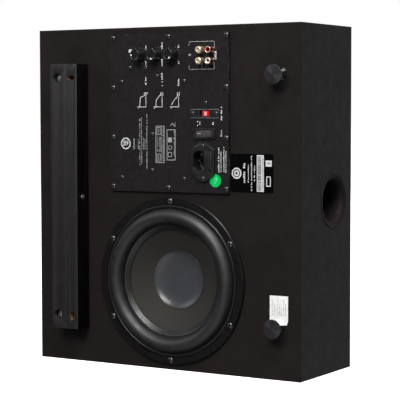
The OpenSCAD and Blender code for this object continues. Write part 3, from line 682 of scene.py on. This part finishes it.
def spider():
    """Corrugated cloth disc in sectors."""
    outer_r, bottom, _ = round_node("spider")
    inner_r, sheet, waves, steps = 19.6, 0.55, 5, 90
    profile = []
    for i in range(steps + 1):
        r = inner_r + (outer_r - inner_r) * i / steps
        lift = 1.7 + 1.6 * math.sin(2 * math.pi * waves * i / steps)
        profile.append((r, bottom + 0.02 + lift * min(1.0, max(0.0, (outer_r - 3.5 - r) / 2.5))))
    loop = profile + [(r, h + sheet) for r, h in reversed(profile)]
    place = placed(*WOOFER)
    sectors = 12
    wide = 360 / sectors
    for k in range(sectors):
        bm = bmesh.new()
        loops = []
        for j in range(9):
            turn = math.radians(k * wide + wide * (j / 8 - 0.5))
            points = [Vector((r * math.cos(turn), r * math.sin(turn), h)) for r, h in loop]
            loops.append([bm.verts.new(place @ point) for point in points])
        capped(bm, loops)
        bmesh.ops.recalc_face_normals(bm, faces=bm.faces)
        sector = as_object("spider_sector_%02d" % (k + 1), bm)
        shade(sector.data, 60)
        sector.data.materials.append(FINISHES["spider_cloth"])
        if k == 0:
            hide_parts("spider")
        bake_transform(sector)


# ---------- screws ----------

# Radius and height of the head, radius of the shank, and length.
SCREWS = {
    "woofer_screws": (3.7, 2.6, 1.7, 13),
    "amp_screws": (3.2, 2.2, 1.6, 15),
    "small_screws": (2.4, 1.5, 1.5, 6),
    "cleat_screws": (4.4, 3.0, 2.0, 30),
}


def pan_head(head_r, head_h, shank_r, length):
    """A Phillips pan head screw in millimetres, its underside at z = 0."""
    profile = [(0.0, head_h)]
    profile += [(head_r * s, head_h * (1 - 0.42 * s ** 2.4)) for s in (0.2, 0.4, 0.6, 0.75, 0.88, 0.96)]
    profile += [(head_r, head_h * 0.42), (head_r * 0.985, head_h * 0.12), (head_r * 0.95, 0.0)]
    profile += [(shank_r, 0.0), (shank_r, -length + shank_r), (0.0, -length)]
    head = bmesh.new()
    lathe(head, Matrix.Identity(4), profile, 40)
    cross = bmesh.new()
    wide, reach, deep = head_r * 0.13, head_r * 0.56, head_h * 0.35
    plus = [(wide, wide), (wide, reach), (-wide, reach), (-wide, wide), (-reach, wide), (-reach, -wide),
            (-wide, -wide), (-wide, -reach), (wide, -reach), (wide, -wide), (reach, -wide), (reach, wide)]
    rings = []
    for share, height in ((0.35, deep), (1.0, head_h), (1.25, head_h * 1.6)):
        rings.append([cross.verts.new((x * share, y * share, height)) for x, y in plus])
    capped(cross, rings)
    cut_head = cut(head, cross)
    mesh = bpy.data.meshes.new("pan_head")
    cut_head.to_mesh(mesh)
    cut_head.free()
    return mesh


def screw_spots(node):
    """Axis of each separate solid of a screw node, on the rear face."""
    bm = joined(frame["nodes"][node].data)
    bmesh.ops.remove_doubles(bm, verts=bm.verts, dist=1e-6)
    left, spots = set(bm.verts), []
    while left:
        stack, solid = [left.pop()], []
        while stack:
            vert = stack.pop()
            solid.append(vert.co.copy())
            for edge in vert.link_edges:
                other = edge.other_vert(vert)
                if other in left:
                    left.remove(other)
                    stack.append(other)
        xs, zs, ys = [c.x for c in solid], [c.z for c in solid], [c.y for c in solid]
        x, z = (min(xs) + max(xs)) / 2, (min(zs) + max(zs)) / 2
        spots.append(((x - REAR_LO.x) / MM, (z - REAR_LO.z) / MM, (REAR_LO.y - min(ys)) / MM))
    bm.free()
    return sorted(spots)


def screws(node, head_r, head_h, shank_r, length):
    """Detailed screws in place of a CAD node, each turned a little differently."""
    mesh = pan_head(head_r, head_h, shank_r, length)
    bm = bmesh.new()
    for i, (x, z, top) in enumerate(screw_spots(node)):
        fresh = joined(mesh)
        turn = Matrix.Rotation(math.radians(37 * i + 20), 4, "Z")
        fresh.transform(placed(x, z, top - head_h) @ turn)
        copy = bpy.data.meshes.new("screw")
        fresh.to_mesh(copy)
        fresh.free()
        bm.from_mesh(copy)
    stand_in(node, bm, 28)


def lock_screw():
    """The screw in the cleat's side: its head points to +X."""
    head_h = 2.0
    bm = joined(pan_head(3.2, head_h, 1.7, 19))
    lo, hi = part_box("lock_screw")
    aside = Matrix(((0, 0, 1), (1, 0, 0), (0, 1, 0))).to_4x4()
    seat = Vector((hi.x - head_h * MM, (lo.y + hi.y) / 2, (lo.z + hi.z) / 2))
    bm.transform(Matrix.Translation(seat) @ aside @ Matrix.Scale(MM, 4))
    stand_in("lock_screw", bm, 28)


# ---------- knobs, sockets and switches ----------

POINTERS = {"level_knob": 180, "crossover_knob": 270, "phase_knob": 303}  # degrees from +X


def knob(node, pointer):
    """Grip knob with fine ribs round its side, and its pointer dot as a piece of its own."""
    foot_r, _, top = round_node(node)
    foot, ribs, rib = 4.1, 36, 0.16
    side = [(4.6, foot + 2.4), (4.6, foot), (foot_r - 0.15, foot), (foot_r, foot + 0.3),
            (foot_r - 0.1, foot + 1.5)]
    grip = [(foot_r - 0.1 - 0.5 * t, foot + 1.5 + (top - 1.2 - foot - 1.5) * t)
            for t in (0.06, 0.3, 0.6, 0.94, 1.0)]
    crown = [(foot_r - 0.75, top - 0.55), (foot_r - 1.0, top - 0.2), (foot_r - 1.4, top),
             (foot_r - 1.9, top - 0.05), (foot_r - 2.2, top - 0.25), (foot_r * 0.45, top - 0.35),
             (0.0, top - 0.38)]

    def ribbed(radius, height, turn):
        inside = foot + 1.6 < height < top - 1.1 and radius > foot_r - 1
        return radius - (rib * (0.5 - 0.5 * math.cos(ribs * turn)) if inside else 0)

    bm = revolved(spot(node), side + grip + crown, 216, swell=ribbed)
    lathe(bm, placed(*spot(node)), [(0, -8.7), (3, -8.7), (3, foot + 8)], 32)
    stand_in(node, bm, 40)

    reach = foot_r - 2.9
    turn = math.radians(pointer)
    x, z = spot(node)
    where = (x + reach * math.cos(turn), z + reach * math.sin(turn), top - 0.5)
    dot = revolved(where, [(0, -0.3), (1.1, -0.3), (1.1, 0.22), (0.9, 0.34), (0, 0.36)], 32)
    piece(node.replace("knob", "pointer"), dot, BODY_OF[node], "white_plastic", sharp=50)


def phono_centres(node, radius):
    """Centres of the round parts of a CAD node, one at each corner of its box."""
    low, high = span(node)
    xs = (low[0] + radius, high[0] - radius)
    zs = sorted({round(low[1] + radius, 3), round(high[1] - radius, 3)})
    return [(x, z) for x in xs for z in zs]


def phono_tip(node, x):
    """Top of a round part at x: the capped column is shorter."""
    return top_of(node) - (1.2 if abs(x - spot("upper_phono_cap")[0]) < 1 else 0)


def phono_parts(node, radius, profile, segments, material=None):
    """Four turned parts in place of a CAD node. profile(tip) gives their (radius, height) points."""
    bm = bmesh.new()
    for x, z in phono_centres(node, radius):
        lathe(bm, placed(x, z), profile(phono_tip(node, x)), segments, closed=True)
    return stand_in(node, bm, 35, material)


def phono_barrels():
    """Turned metal sleeves with a groove near the tip. Their tips take a paler gold than their sides, a
    painted highlight on the rims.
    """
    def profile(tip):
        return [(3.1, -9), (4.15, -9), (4.15, 1.0), (4.55, 1.0), (4.55, 4.1), (4.35, 4.5), (4.15, 4.5),
                (4.15, tip - 2.6), (4.02, tip - 2.4), (4.02, tip - 2.1), (4.15, tip - 1.9),
                (4.15, tip - 0.5), (4.05, tip - 0.22), (3.85, tip - 0.05), (3.65, tip),
                (3.42, tip - 0.06), (3.22, tip - 0.25), (3.1, tip - 0.5)]

    barrels = phono_parts("phono_barrels", 4.55, profile, 72, FINISHES["barrel_gold"])
    free_tip = top_of("phono_barrels")
    # Paler gold on the tips only: a painted highlight where the rims catch the light.
    second_finish(barrels, FINISHES["gold"], lambda out, face: out > free_tip - 0.6)


def insulators(node):
    """Coloured inserts with a funnel down to the centre contact."""
    def profile(top):
        return [(1.9, -8), (3.08, -8), (3.08, top - 0.25), (2.9, top), (2.5, top), (2.1, top - 0.3),
                (1.9, top - 0.6)]

    phono_parts(node, 3.08, profile, 48)


def phono_contacts():
    """The tubes that the plugs' pins go into."""
    def profile(top):
        return [(1.6, -8), (1.88, -8), (1.88, top - 0.15), (1.78, top), (1.68, top), (1.6, top - 0.12)]

    phono_parts("phono_contacts", 1.88, profile, 40, FINISHES["contact_brass"])


def phono_cap(node):
    """Pull-off cap with a domed tip, a dimple and a knurled band."""
    r, bottom, top = round_node(node)

    def knurled(radius, height, turn):
        band = bottom + 1.2 < height < top - 2.2 and radius > r - 0.2
        return radius - (0.12 * (0.5 - 0.5 * math.cos(30 * turn)) if band else 0)

    foot = [(4.2, bottom), (r - 0.15, bottom), (r, bottom + 0.2), (r, bottom + 1.15)]
    band = [(r - 0.02, bottom + 1.4), (r - 0.02, top - 2.4), (r, top - 2.1)]
    crown = arc((r - 1.9, top - 1.9), 1.9, 0, 85, 14)
    crown += [(2.3, top), (2.0, top - 0.12), (1.75, top - 0.4), (0, top - 0.5)]
    inside = [(0.0, top - 0.9), (4.2, top - 0.9)]
    bm = revolved(spot(node), foot + band + crown, 180, swell=knurled)
    lathe(bm, placed(*spot(node)), inside + foot[:1], 180)
    bmesh.ops.remove_doubles(bm, verts=bm.verts, dist=1e-6)
    stand_in(node, bm, 35)


def softened_nodes():
    """Moulded parts whose CAD shape is right: their hard edges are rounded. The wall cleat also shows raw
    board in its slots and near-black painted shade on its right side.
    """
    widths = {
        "selector_body": 0.25, "selector_slider": 0.3, "rocker_bezel": 0.35, "rocker_paddle": 0.3,
        "inlet_body": 0.45, "inlet_pins": 0.25, "fuse_drawer": 0.25, "phono_block": 0.3,
        "cabinet_cleat": 0.8, "wall_cleat": 0.8,
    }
    made = {}
    for node, width in widths.items():
        material = FINISHES["rocker_satin"] if node == "rocker_paddle" else None
        made[node] = stand_in(node, softened(node, width), 35, material)

    slot_x, slot_zs, reach, under_face = 69, (62, 367.5), 5.6, 24.9

    def in_slot(out, face):
        x, z = (face.center.x - REAR_LO.x) / MM, (face.center.z - REAR_LO.z) / MM
        near = abs(x - slot_x) < reach and any(abs(z - slot_z) < reach for slot_z in slot_zs)
        return near and out < under_face and abs(face.normal.y) < 0.6

    def on_right_side(out, face):
        return face.normal.x > 0.9 and out < under_face - 0.3

    second_finish(made["wall_cleat"], FINISHES["raw_board"], in_slot)
    # The cleat's right side is painted near-black: painted shade, not the cleat's own colour.
    second_finish(made["wall_cleat"], FINISHES["painted_shade_black"], on_right_side, 2)


# ---------- feet ----------

def foot_dome():
    """Rim radius and height of a foot's domed base, and the radius of its sphere."""
    high = span("foot_bases")[1]
    rim_r, top = high[0] - spot("upper_foot_bumper")[0], high[2]
    return rim_r, top, (rim_r ** 2 + top ** 2) / (2 * top)


def foot_bases():
    """Gloss domes on the baffle, with a fine lip round the foot of each."""
    rim_r, top, dome_r = foot_dome()
    start = math.degrees(math.asin((dome_r - top) / dome_r))
    dome = arc((0, top - dome_r), dome_r, start + 3, 62, 28)
    hole = [(4.6, top - 0.25), (4.2, top - 0.35), (4.05, top - 0.6)]
    profile = [(4.05, 0), (rim_r, 0), (rim_r, 0.35)] + dome + hole
    bm = bmesh.new()
    for node in ("lower_foot_bumper", "upper_foot_bumper"):
        lathe(bm, placed(*spot(node)), profile, 144, closed=True)
    stand_in("foot_bases", bm, 45)


def foot_bumper(node):
    """Screw foot: a turned rubber head and its boss, moulded on a steel stud."""
    head_r, end, top = round_node(node)
    base, boss_r, boss, groove = top - 2.6, 6.5, 9.5, 0.05
    radii = [1.5 + 0.3 * i for i in range(34)]
    slope = [(r, top - 0.9 * max(0.0, r - 1.5) / (head_r - 2.1)) for r in radii]
    grooved = [(r, h - (groove if i % 2 else 0.0)) for i, (r, h) in enumerate(slope)]
    rim = [(head_r - 0.4, top - 1.0), (head_r, top - 1.4), (head_r, base + 0.4), (head_r - 0.4, base),
           (boss_r + 0.8, base), (boss_r, base - 0.8), (boss_r, boss + 0.6), (boss_r - 0.6, boss), (0, boss)]
    stand_in(node, revolved(spot(node), [(0, top), (1.2, top)] + grooved + rim, 128), 50)

    pitch, stud_r, depth = 1.25, 4.0, 0.3
    turns = int((boss - end - 3) / pitch)
    thread = [(stud_r - depth * (k % 2), boss + 0.5 - 0.8 - pitch / 2 * k) for k in range(2 * turns)]
    stud = [(0, boss + 0.5), (stud_r, boss + 0.5)] + thread + [(3.2, end), (0, end)]
    bm = revolved(spot(node), stud, 64)
    piece(node.replace("bumper", "stud"), bm, BODY_OF[node], "plated_steel", sharp=25)


# ---------- printing ----------

PLATE_TOP = top_of("amp_plate")
INK = 0.05


def letters(bm, x, z0, z1, size, out, seed=1):
    """A line of meaningless blocks in the rhythm of type. It runs up from z0 to z1."""
    z, n = z0, seed
    while z < z1 - size * 0.4:
        n = (n * 37 + 11) % 101
        if n % 6 == 0:
            z += size * 0.55
            continue
        wide = size * (0.34 + 0.14 * (n % 3))
        tall = size * (0.6 if n % 4 else 0.9)
        outline = rectangle(x + size / 2 - tall, z, x + size / 2, min(z + wide, z1))
        prism(bm, placed(0, 0), outline, out - INK, out + INK)
        z += wide + size * 0.2


def line(bm, points, width, out=PLATE_TOP, closed=False, origin=(0, 0)):
    """A printed line through points given from an origin on the rear face."""
    stroke(bm, placed(*origin), points, width, out - INK, out + INK, closed)


def patch(bm, outline, out=PLATE_TOP):
    """A printed area."""
    prism(bm, placed(0, 0), outline, out - INK, out + INK)


def solid_box(bm, x0, z0, x1, z1, out, ease=0.3):
    patch(bm, eased(rectangle(x0, z0, x1, z1), ease, 3), out)


def outline_box(bm, x0, z0, x1, z1, width, out):
    line(bm, rectangle(x0, z0, x1, z1), width, out, closed=True)


def knob_printing(bm):
    """Three labels and a ring of dots beside each knob, and a block by the first."""
    captions = {"level_knob": (356, 369), "crossover_knob": (356, 375), "phase_knob": (356, 367)}
    uppers = {"level_knob": (402, 409), "crossover_knob": (402, 410.5), "phase_knob": (403, 409.5)}
    lowers = {"level_knob": (381, 388), "crossover_knob": (380.5, 389.5), "phase_knob": (383, 387)}
    dial_r = 9.9
    for i, node in enumerate(POINTERS):
        x, z = spot(node)
        side = x + 8.3
        for seed, (low, high) in enumerate((captions[node], uppers[node], lowers[node])):
            letters(bm, side, low, high, 2.6, PLATE_TOP, seed + 3 * i + 1)
        for turn in range(-140, 141, 28):
            angle = math.radians(turn + 180)
            centre = (x + dial_r * math.cos(angle), z + dial_r * math.sin(angle))
            patch(bm, circle(0.28, centre, 12))
    x, z = spot("level_knob")
    solid_box(bm, x - 17, z + 3.8, x - 12.4, z + 8.2, PLATE_TOP, 1.4)


def response_curves(bm):
    """A small filter diagram under each knob: axes and a curve that bends."""
    bends = {
        "level_knob": [(0, 0), (1.2, 11.5), (8, 14), (12.5, 17.5)],
        "crossover_knob": [(0, 0), (0.8, 8.5), (4.5, 12), (9.5, 17.5)],
        "phase_knob": [(-1, 2), (3, 8), (7, 11.5), (9, 17.5)],
    }
    for node, curve in bends.items():
        origin = (spot(node)[0] - 0.7, 330.5)
        line(bm, curve, 0.9, origin=origin)
        line(bm, [(-3.4, -0.4), (9.4, -0.4), (9.4, 12.5)], 0.8, origin=origin)
        line(bm, [(-2.6, -2.2), (-0.6, -0.6)], 0.8, origin=origin)
        for i in range(3):
            line(bm, [(7.2 + 1.6 * i, 13.5), (7.2 + 1.6 * i, 17.8)], 0.7, origin=origin)


def badge(bm):
    """A plain ring with three bars."""
    x, z = 138.6, 284.0
    line(bm, circle(6.6, (x, z)), 1.6, closed=True)
    for i in range(3):
        solid_box(bm, x - 3.6 + 2.8 * i, z - 3.4 + i, x - 2.0 + 2.8 * i, z + 3.4, PLATE_TOP)


def information_printing(bm):
    """Columns of small type and two boxes of plain symbols."""
    for x, z0, z1, size, seed in ((150.6, 277, 291, 2.8, 5), (159.6, 257, 316, 1.7, 8),
                                  (162.3, 258, 317, 1.7, 3), (170.2, 252, 322, 1.9, 9)):
        letters(bm, x, z0, z1, size, PLATE_TOP, seed)
    for x in (157.2, 165.0, 167.4):
        letters(bm, x, 277, 291, 1.7, PLATE_TOP, int(x))
    outline_box(bm, 184, 260.6, 196.4, 306, 0.9, PLATE_TOP)
    for x in (192.6, 194.7):
        letters(bm, x, 262, 305, 1.7, PLATE_TOP, int(x))
    for z in (262.5, 295.5):
        outline_box(bm, 185.6, z, 190.6, z + 8.6, 0.8, PLATE_TOP)
        line(bm, [(188.1, z + 1.4), (188.1, z + 7.2)], 0.8)
    for x in (186.4, 188.8, 190.8):
        letters(bm, x, 273.5, 293, 1.6, PLATE_TOP, int(x * 3))
    outline_box(bm, 200.6, 264, 212.6, 301.6, 0.9, PLATE_TOP)
    letters(bm, 211.0, 265, 301, 1.6, PLATE_TOP, 4)
    solid_box(bm, 201.8, 286, 207.8, 292, PLATE_TOP)
    outline_box(bm, 202.2, 268, 207.4, 273.4, 0.8, PLATE_TOP)
    line(bm, [*circle(2.6, (205, 279.4), 20), (207.6, 279.4)], 0.8)
    line(bm, [(205.5, 306.5), (208.5, 309.5), (211.5, 306.5)], 1.0)
    line(bm, [(212.4, 305.4), (212.4, 311)], 1.0)


def socket_printing(bm):
    """Frame round the phono sockets and lines beside the voltage selector."""
    block_low, block_high = span("phono_block")
    x0, x1 = block_low[0] - 11, block_high[0] - 3.6
    z0, z1 = block_low[1] - 2, block_high[1] + 3
    border = [(x0, z1 - 4.5), (x0, z1), (x1, z1), (x1, z0), (x0, z0), (x0, z0 + 5.5)]
    line(bm, eased(border, 2.0, 4, False), 0.7)
    line(bm, [(x0 + 18.6, z0 + 0.5), (x0 + 18.6, z0 + 7.5)], 0.9)
    solid_box(bm, x0 - 0.6, 392.7, x0 + 2.6, 395.2, PLATE_TOP, 0.8)
    letters(bm, 278.8, 293.5, 302, 3.0, PLATE_TOP, 7)
    low, high = span("selector_body")
    for z in (low[1] + 0.5, high[1] - 0.5):
        line(bm, [(low[0] + 0.5, z), (high[0] - 0.5, z)], 0.3, high[2])


def socket_labels(bm):
    """Labels beside the phono sockets, the switches and the inlet."""
    block_low, block_high = span("phono_block")
    letters(bm, block_high[0] - 2.4, block_low[1] + 10, block_low[1] + 21.5, 3.6, PLATE_TOP, 6)
    letters(bm, 278.8, 313.5, 330, 3.2, PLATE_TOP, 2)
    letters(bm, 244.8, 306.5, 312.8, 2.6, PLATE_TOP, 4)
    letters(bm, 248.0, 308, 312.5, 2.4, PLATE_TOP, 3)
    letters(bm, 267.2, 308, 312.4, 2.8, PLATE_TOP, 8)
    for x, size, z1 in ((275.2, 2.2, 281), (278.4, 1.7, 277.5), (282.4, 2.2, 281), (285.4, 1.7, 277)):
        letters(bm, x, 249.5, z1, size, PLATE_TOP, int(x))


def plate_printing():
    """The plate's marks, in two shades of ink."""
    white, grey = bmesh.new(), bmesh.new()
    for draw in (knob_printing, response_curves, badge, socket_labels):
        draw(white)
    for draw in (information_printing, socket_printing):
        draw(grey)
    piece("plate_printing", white, "cabinet", material=WHITE_INK)
    piece("plate_small_printing", grey, "cabinet", material=PLATE_INK)


def rating_label():
    """White marks on the gloss label: a plain roundel, lines of blocks, a bar field and two boxes."""
    out = top_of("rating_label")
    bm = bmesh.new()
    centre = (298.8, 249.2)
    patch(bm, circle(6.9, centre), out)
    for x, z0, z1, size in ((309.2, 237.5, 262, 3.2), (315, 238, 261, 1.7), (319.4, 228, 271.5, 1.9),
                            (323.5, 240, 260, 1.6)):
        letters(bm, x, z0, z1, size, out, int(x))
    solid_box(bm, 327, 227.4, 336.8, 271.8, out)
    solid_box(bm, 339.2, 258, 347.6, 265.4, out)
    outline_box(bm, 340.6, 234.4, 345.6, 245.6, 1.2, out)
    piece("rating_label_print", bm, "cabinet", material=WHITE_INK)

    over = out + INK
    bm = bmesh.new()
    z, n = 229.0, 5
    while z < 270:
        n = (n * 29 + 7) % 53
        bar = 0.35 + 0.2 * (n % 4)
        solid_box(bm, 328, z, 333, z + bar, over, 0.05)
        z += bar + 0.4 + 0.25 * (n % 3)
    letters(bm, 335.2, 231, 268, 1.1, over, 3)
    line(bm, circle(4.4, centre), 1.3, over, closed=True)
    patch(bm, circle(1.6, centre, 24), over)
    line(bm, [(341.4, 261.7), (345.4, 261.7)], 0.8, over)
    piece("rating_label_dark_print", bm, "cabinet", material=DARK_INK)


def draped_sticker():
    """The paper sticker, lifted at its lower edge by the foot's dome."""
    low, high = span("paper_sticker")
    foot_x, foot_z = spot("lower_foot_bumper")
    _, dome_top, dome_r = foot_dome()

    def lift(x, z):
        away = math.hypot(x - foot_x, z - foot_z)
        rise = math.sqrt(max(0.0, dome_r ** 2 - away ** 2)) - (dome_r - dome_top) + 0.1
        return (rise + math.sqrt(rise ** 2 + 0.3 ** 2)) / 2

    columns, rows = 30, 42
    bottom, clear = 67.8, 4.8  # lower edge, and the room left round the foot's stud
    corner, corner_height = 1.8, 4.5  # how much the upper right corner is clipped
    bm = bmesh.new()
    loops = []
    for k in range(rows + 1):
        upper, lower = [], []
        for i in range(columns + 1):
            right = high[0] - corner * max(0.0, 1 - (high[1] - bottom) * k / rows / corner_height)
            x = low[0] + (right - low[0]) * i / columns
            start = max(bottom, foot_z + math.sqrt(max(0.0, clear ** 2 - (x - foot_x) ** 2)))
            z = start + (high[1] - start) * k / rows
            upper.append(bm.verts.new(at(x, z, high[2] + lift(x, z))))
            lower.append(bm.verts.new(at(x, z, lift(x, z) + 0.02)))
        loops.append(upper + lower[::-1])
    skin(bm, loops)
    for loop in (loops[0], loops[-1]):
        for i in range(columns):
            bm.faces.new((loop[i], loop[i + 1], loop[-i - 2], loop[-i - 1]))
    stand_in("paper_sticker", bm, 50)


def sticker_printing():
    """Faint blocks on the paper sticker, and a scribble on the round one."""
    out = top_of("paper_sticker")
    low, high = span("paper_sticker")
    bm = bmesh.new()
    for i in range(8):
        letters(bm, low[0] + 3.2 + 2.6 * i, 79, high[1] - 4 - 5 * (i % 3), 1.5, out + 0.02, i + 2)
    piece("paper_sticker_print", bm, "cabinet", material=FAINT_INK)

    x, z = spot("round_sticker")
    out = top_of("round_sticker")
    place = placed(x + 0.4, z)
    bm = bmesh.new()
    scribble = [(2.9 * math.cos(t / 5) * (1 - t / 60), 4.2 * math.sin(t / 4.1)) for t in range(0, 38)]
    stroke(bm, place, scribble, 0.5, out - INK, out + INK)
    piece("round_sticker_scribble", bm, "cabinet", material=ink("pen_ink", (120, 226, 170)))


def rocker_mark():
    """A white dash on the pressed end of the rocker."""
    x, z = spot("rocker_paddle")
    tilt, slope = math.radians(8), math.atan2(1.5, 13)
    axis_out, surface = 1.2, 4.45
    bm = bmesh.new()
    axis = Matrix.Translation(at(x, z, axis_out)) @ FACING_OUT
    place = axis @ Matrix.Rotation(-tilt + slope, 4, "Y") @ Matrix.Scale(MM, 4)
    prism(bm, place, eased(rectangle(-9.2, -0.35, -4.2, 0.55), 0.3, 3), surface - 0.6, surface)
    piece("rocker_mark", bm, BODY_OF["rocker_paddle"], material=FAINT_INK)


def slider_painted_highlight():
    """A pale pink patch on the red slider, a painted highlight on it."""
    low, high = span("selector_slider")
    bm = bmesh.new()
    # The patch's pale pink stands for light catching the slider: a painted highlight, not a grip or print.
    grip = rectangle(low[0] + 2.4, low[1] + 1.1, low[0] + 6.6, high[1] - 1.1)
    prism(bm, placed(0, 0), eased(grip, 0.8, 4), high[2] - 0.2, high[2] + INK)
    piece("slider_painted_highlight", bm, BODY_OF["selector_slider"], material=ink("pale_painted_highlight", (236, 150, 150)))


# ---------- stage ----------

def softbox(name, towards, distance, size, power, tint=(1, 1, 1)):
    """An area light that shines on the middle of the object from a direction."""
    middle = (cad_box[0] + cad_box[1]) / 2
    data = bpy.data.lights.new(name, "AREA")
    data.energy = power
    data.color = tint
    data.shape = "RECTANGLE"
    data.size, data.size_y = size
    lamp = bpy.data.objects.new(name, data)
    lamp.location = middle + Vector(towards).normalized() * distance
    lamp.rotation_euler = (middle - lamp.location).to_track_quat("-Z", "Y").to_euler()
    bpy.context.scene.collection.objects.link(lamp)


def surroundings():
    """White behind the object as the camera sees it. It lights the object dimly, and more from behind."""
    world = bpy.data.worlds.new("studio")
    world.use_nodes = True
    tree = world.node_tree
    tree.nodes.clear()
    seen, lit = tree.nodes.new("ShaderNodeBackground"), tree.nodes.new("ShaderNodeBackground")
    seen.inputs["Color"].default_value = (1, 1, 1, 1)
    where, axes = tree.nodes.new("ShaderNodeTexCoord"), tree.nodes.new("ShaderNodeSeparateXYZ")
    fall = tree.nodes.new("ShaderNodeMapRange")
    for socket, value in (("From Min", 0.1), ("From Max", 0.9), ("To Min", 0.03), ("To Max", 0.56)):
        fall.inputs[socket].default_value = value
    path, mix = tree.nodes.new("ShaderNodeLightPath"), tree.nodes.new("ShaderNodeMixShader")
    out = tree.nodes.new("ShaderNodeOutputWorld")
    tree.links.new(where.outputs["Generated"], axes.inputs["Vector"])
    tree.links.new(axes.outputs["Y"], fall.inputs["Value"])
    tree.links.new(fall.outputs["Result"], lit.inputs["Strength"])
    tree.links.new(path.outputs["Is Camera Ray"], mix.inputs["Fac"])
    tree.links.new(lit.outputs["Background"], mix.inputs[1])
    tree.links.new(seen.outputs["Background"], mix.inputs[2])
    tree.links.new(mix.outputs["Shader"], out.inputs["Surface"])
    bpy.context.scene.world = world


def floor():
    """A white floor that glows a little, so that it stays white as far as the view goes. Its glow is dimmer
    near the object, a painted soft shadow round it.
    """
    bm = bmesh.new()
    bmesh.ops.create_grid(bm, x_segments=1, y_segments=1, size=30)
    ground = as_object("floor", bm)
    finish = Finish("floor", linear(250, 250, 250), 0.9, gloss=0.1)
    finish.drift(900, 0.005)
    distance = finish.node("ShaderNodeVectorMath", operation="LENGTH")
    finish.link(finish.where, distance.inputs[0])
    # Weaker glow within about a metre of the middle: painted shadow round the object, added to the real
    # shadow in the floor's diffuse light.
    glow_with_painted_shadow = finish.ranged(distance.outputs["Value"], 0.25, 0.9, 0.8, 1.0)
    finish.set("Emission Color", (1, 1, 1, 1))
    finish.link(glow_with_painted_shadow, finish.shader.inputs["Emission Strength"])
    ground.data.materials.append(finish.material)
    ground.visible_diffuse = False
    ground.visible_glossy = False
    ground.visible_shadow = False


def studio():
    bpy.context.scene.view_settings.view_transform = "Standard"
    surroundings()
    floor()
    softbox("key", (0.10, -0.80, 0.57), 4.0, (2.0, 1.45), 126, (1.0, 0.99, 0.97))
    softbox("bounce", (0.10, -0.75, -0.60), 3.2, (3.2, 3.2), 22)
    softbox("overhead", (0.37, -0.41, 0.83), 3.6, (2.2, 1.2), 76)
    softbox("right_strip", (0.83, -0.50, 0.12), 4.0, (0.4, 1.6), 2.6)
    softbox("room_side", (-0.35, 0.85, 0.45), 4.0, (2.0, 2.0), 60)
    softbox("left_fill", (-0.75, -0.45, 0.45), 4.0, (1.8, 1.8), 20, (0.96, 0.98, 1.0))


def camera():
    """The eye's place is given from the cabinet's lower left rear corner."""
    eye = at(1235.03, 326.03, 1617.87)
    azimuth, pitch, roll = math.radians(31.427), math.radians(3.349), math.radians(-0.087)
    back = (math.sin(azimuth) * math.cos(pitch), -math.cos(azimuth) * math.cos(pitch), math.sin(pitch))
    back = Vector(back)
    level = (-back).cross(Vector((0, 0, 1))).normalized()
    upright = level.cross(-back)
    right = level * math.cos(roll) + upright * math.sin(roll)
    up = upright * math.cos(roll) - level * math.sin(roll)
    data = bpy.data.cameras.new("camera")
    data.lens = 138.35
    data.sensor_width = 36
    cam = bpy.data.objects.new("camera", data)
    cam.matrix_world = Matrix.Translation(eye) @ Matrix((right, up, back)).transposed().to_4x4()
    bpy.context.scene.collection.objects.link(cam)
    bpy.context.scene.camera = cam


camera()
dress_cad_nodes()
trim_ring()
surround()
cone()
dust_cap()
spider()
for screw_node, screw_sizes in SCREWS.items():
    screws(screw_node, *screw_sizes)
lock_screw()
for knob_node, pointer_turn in POINTERS.items():
    knob(knob_node, pointer_turn)
phono_barrels()
insulators("red_insulators")
insulators("white_insulators")
phono_contacts()
phono_cap("upper_phono_cap")
phono_cap("lower_phono_cap")
softened_nodes()
foot_bases()
foot_bumper("upper_foot_bumper")
foot_bumper("lower_foot_bumper")
plate_printing()
rating_label()
draped_sticker()
sticker_printing()
rocker_mark()
slider_painted_highlight()
studio()
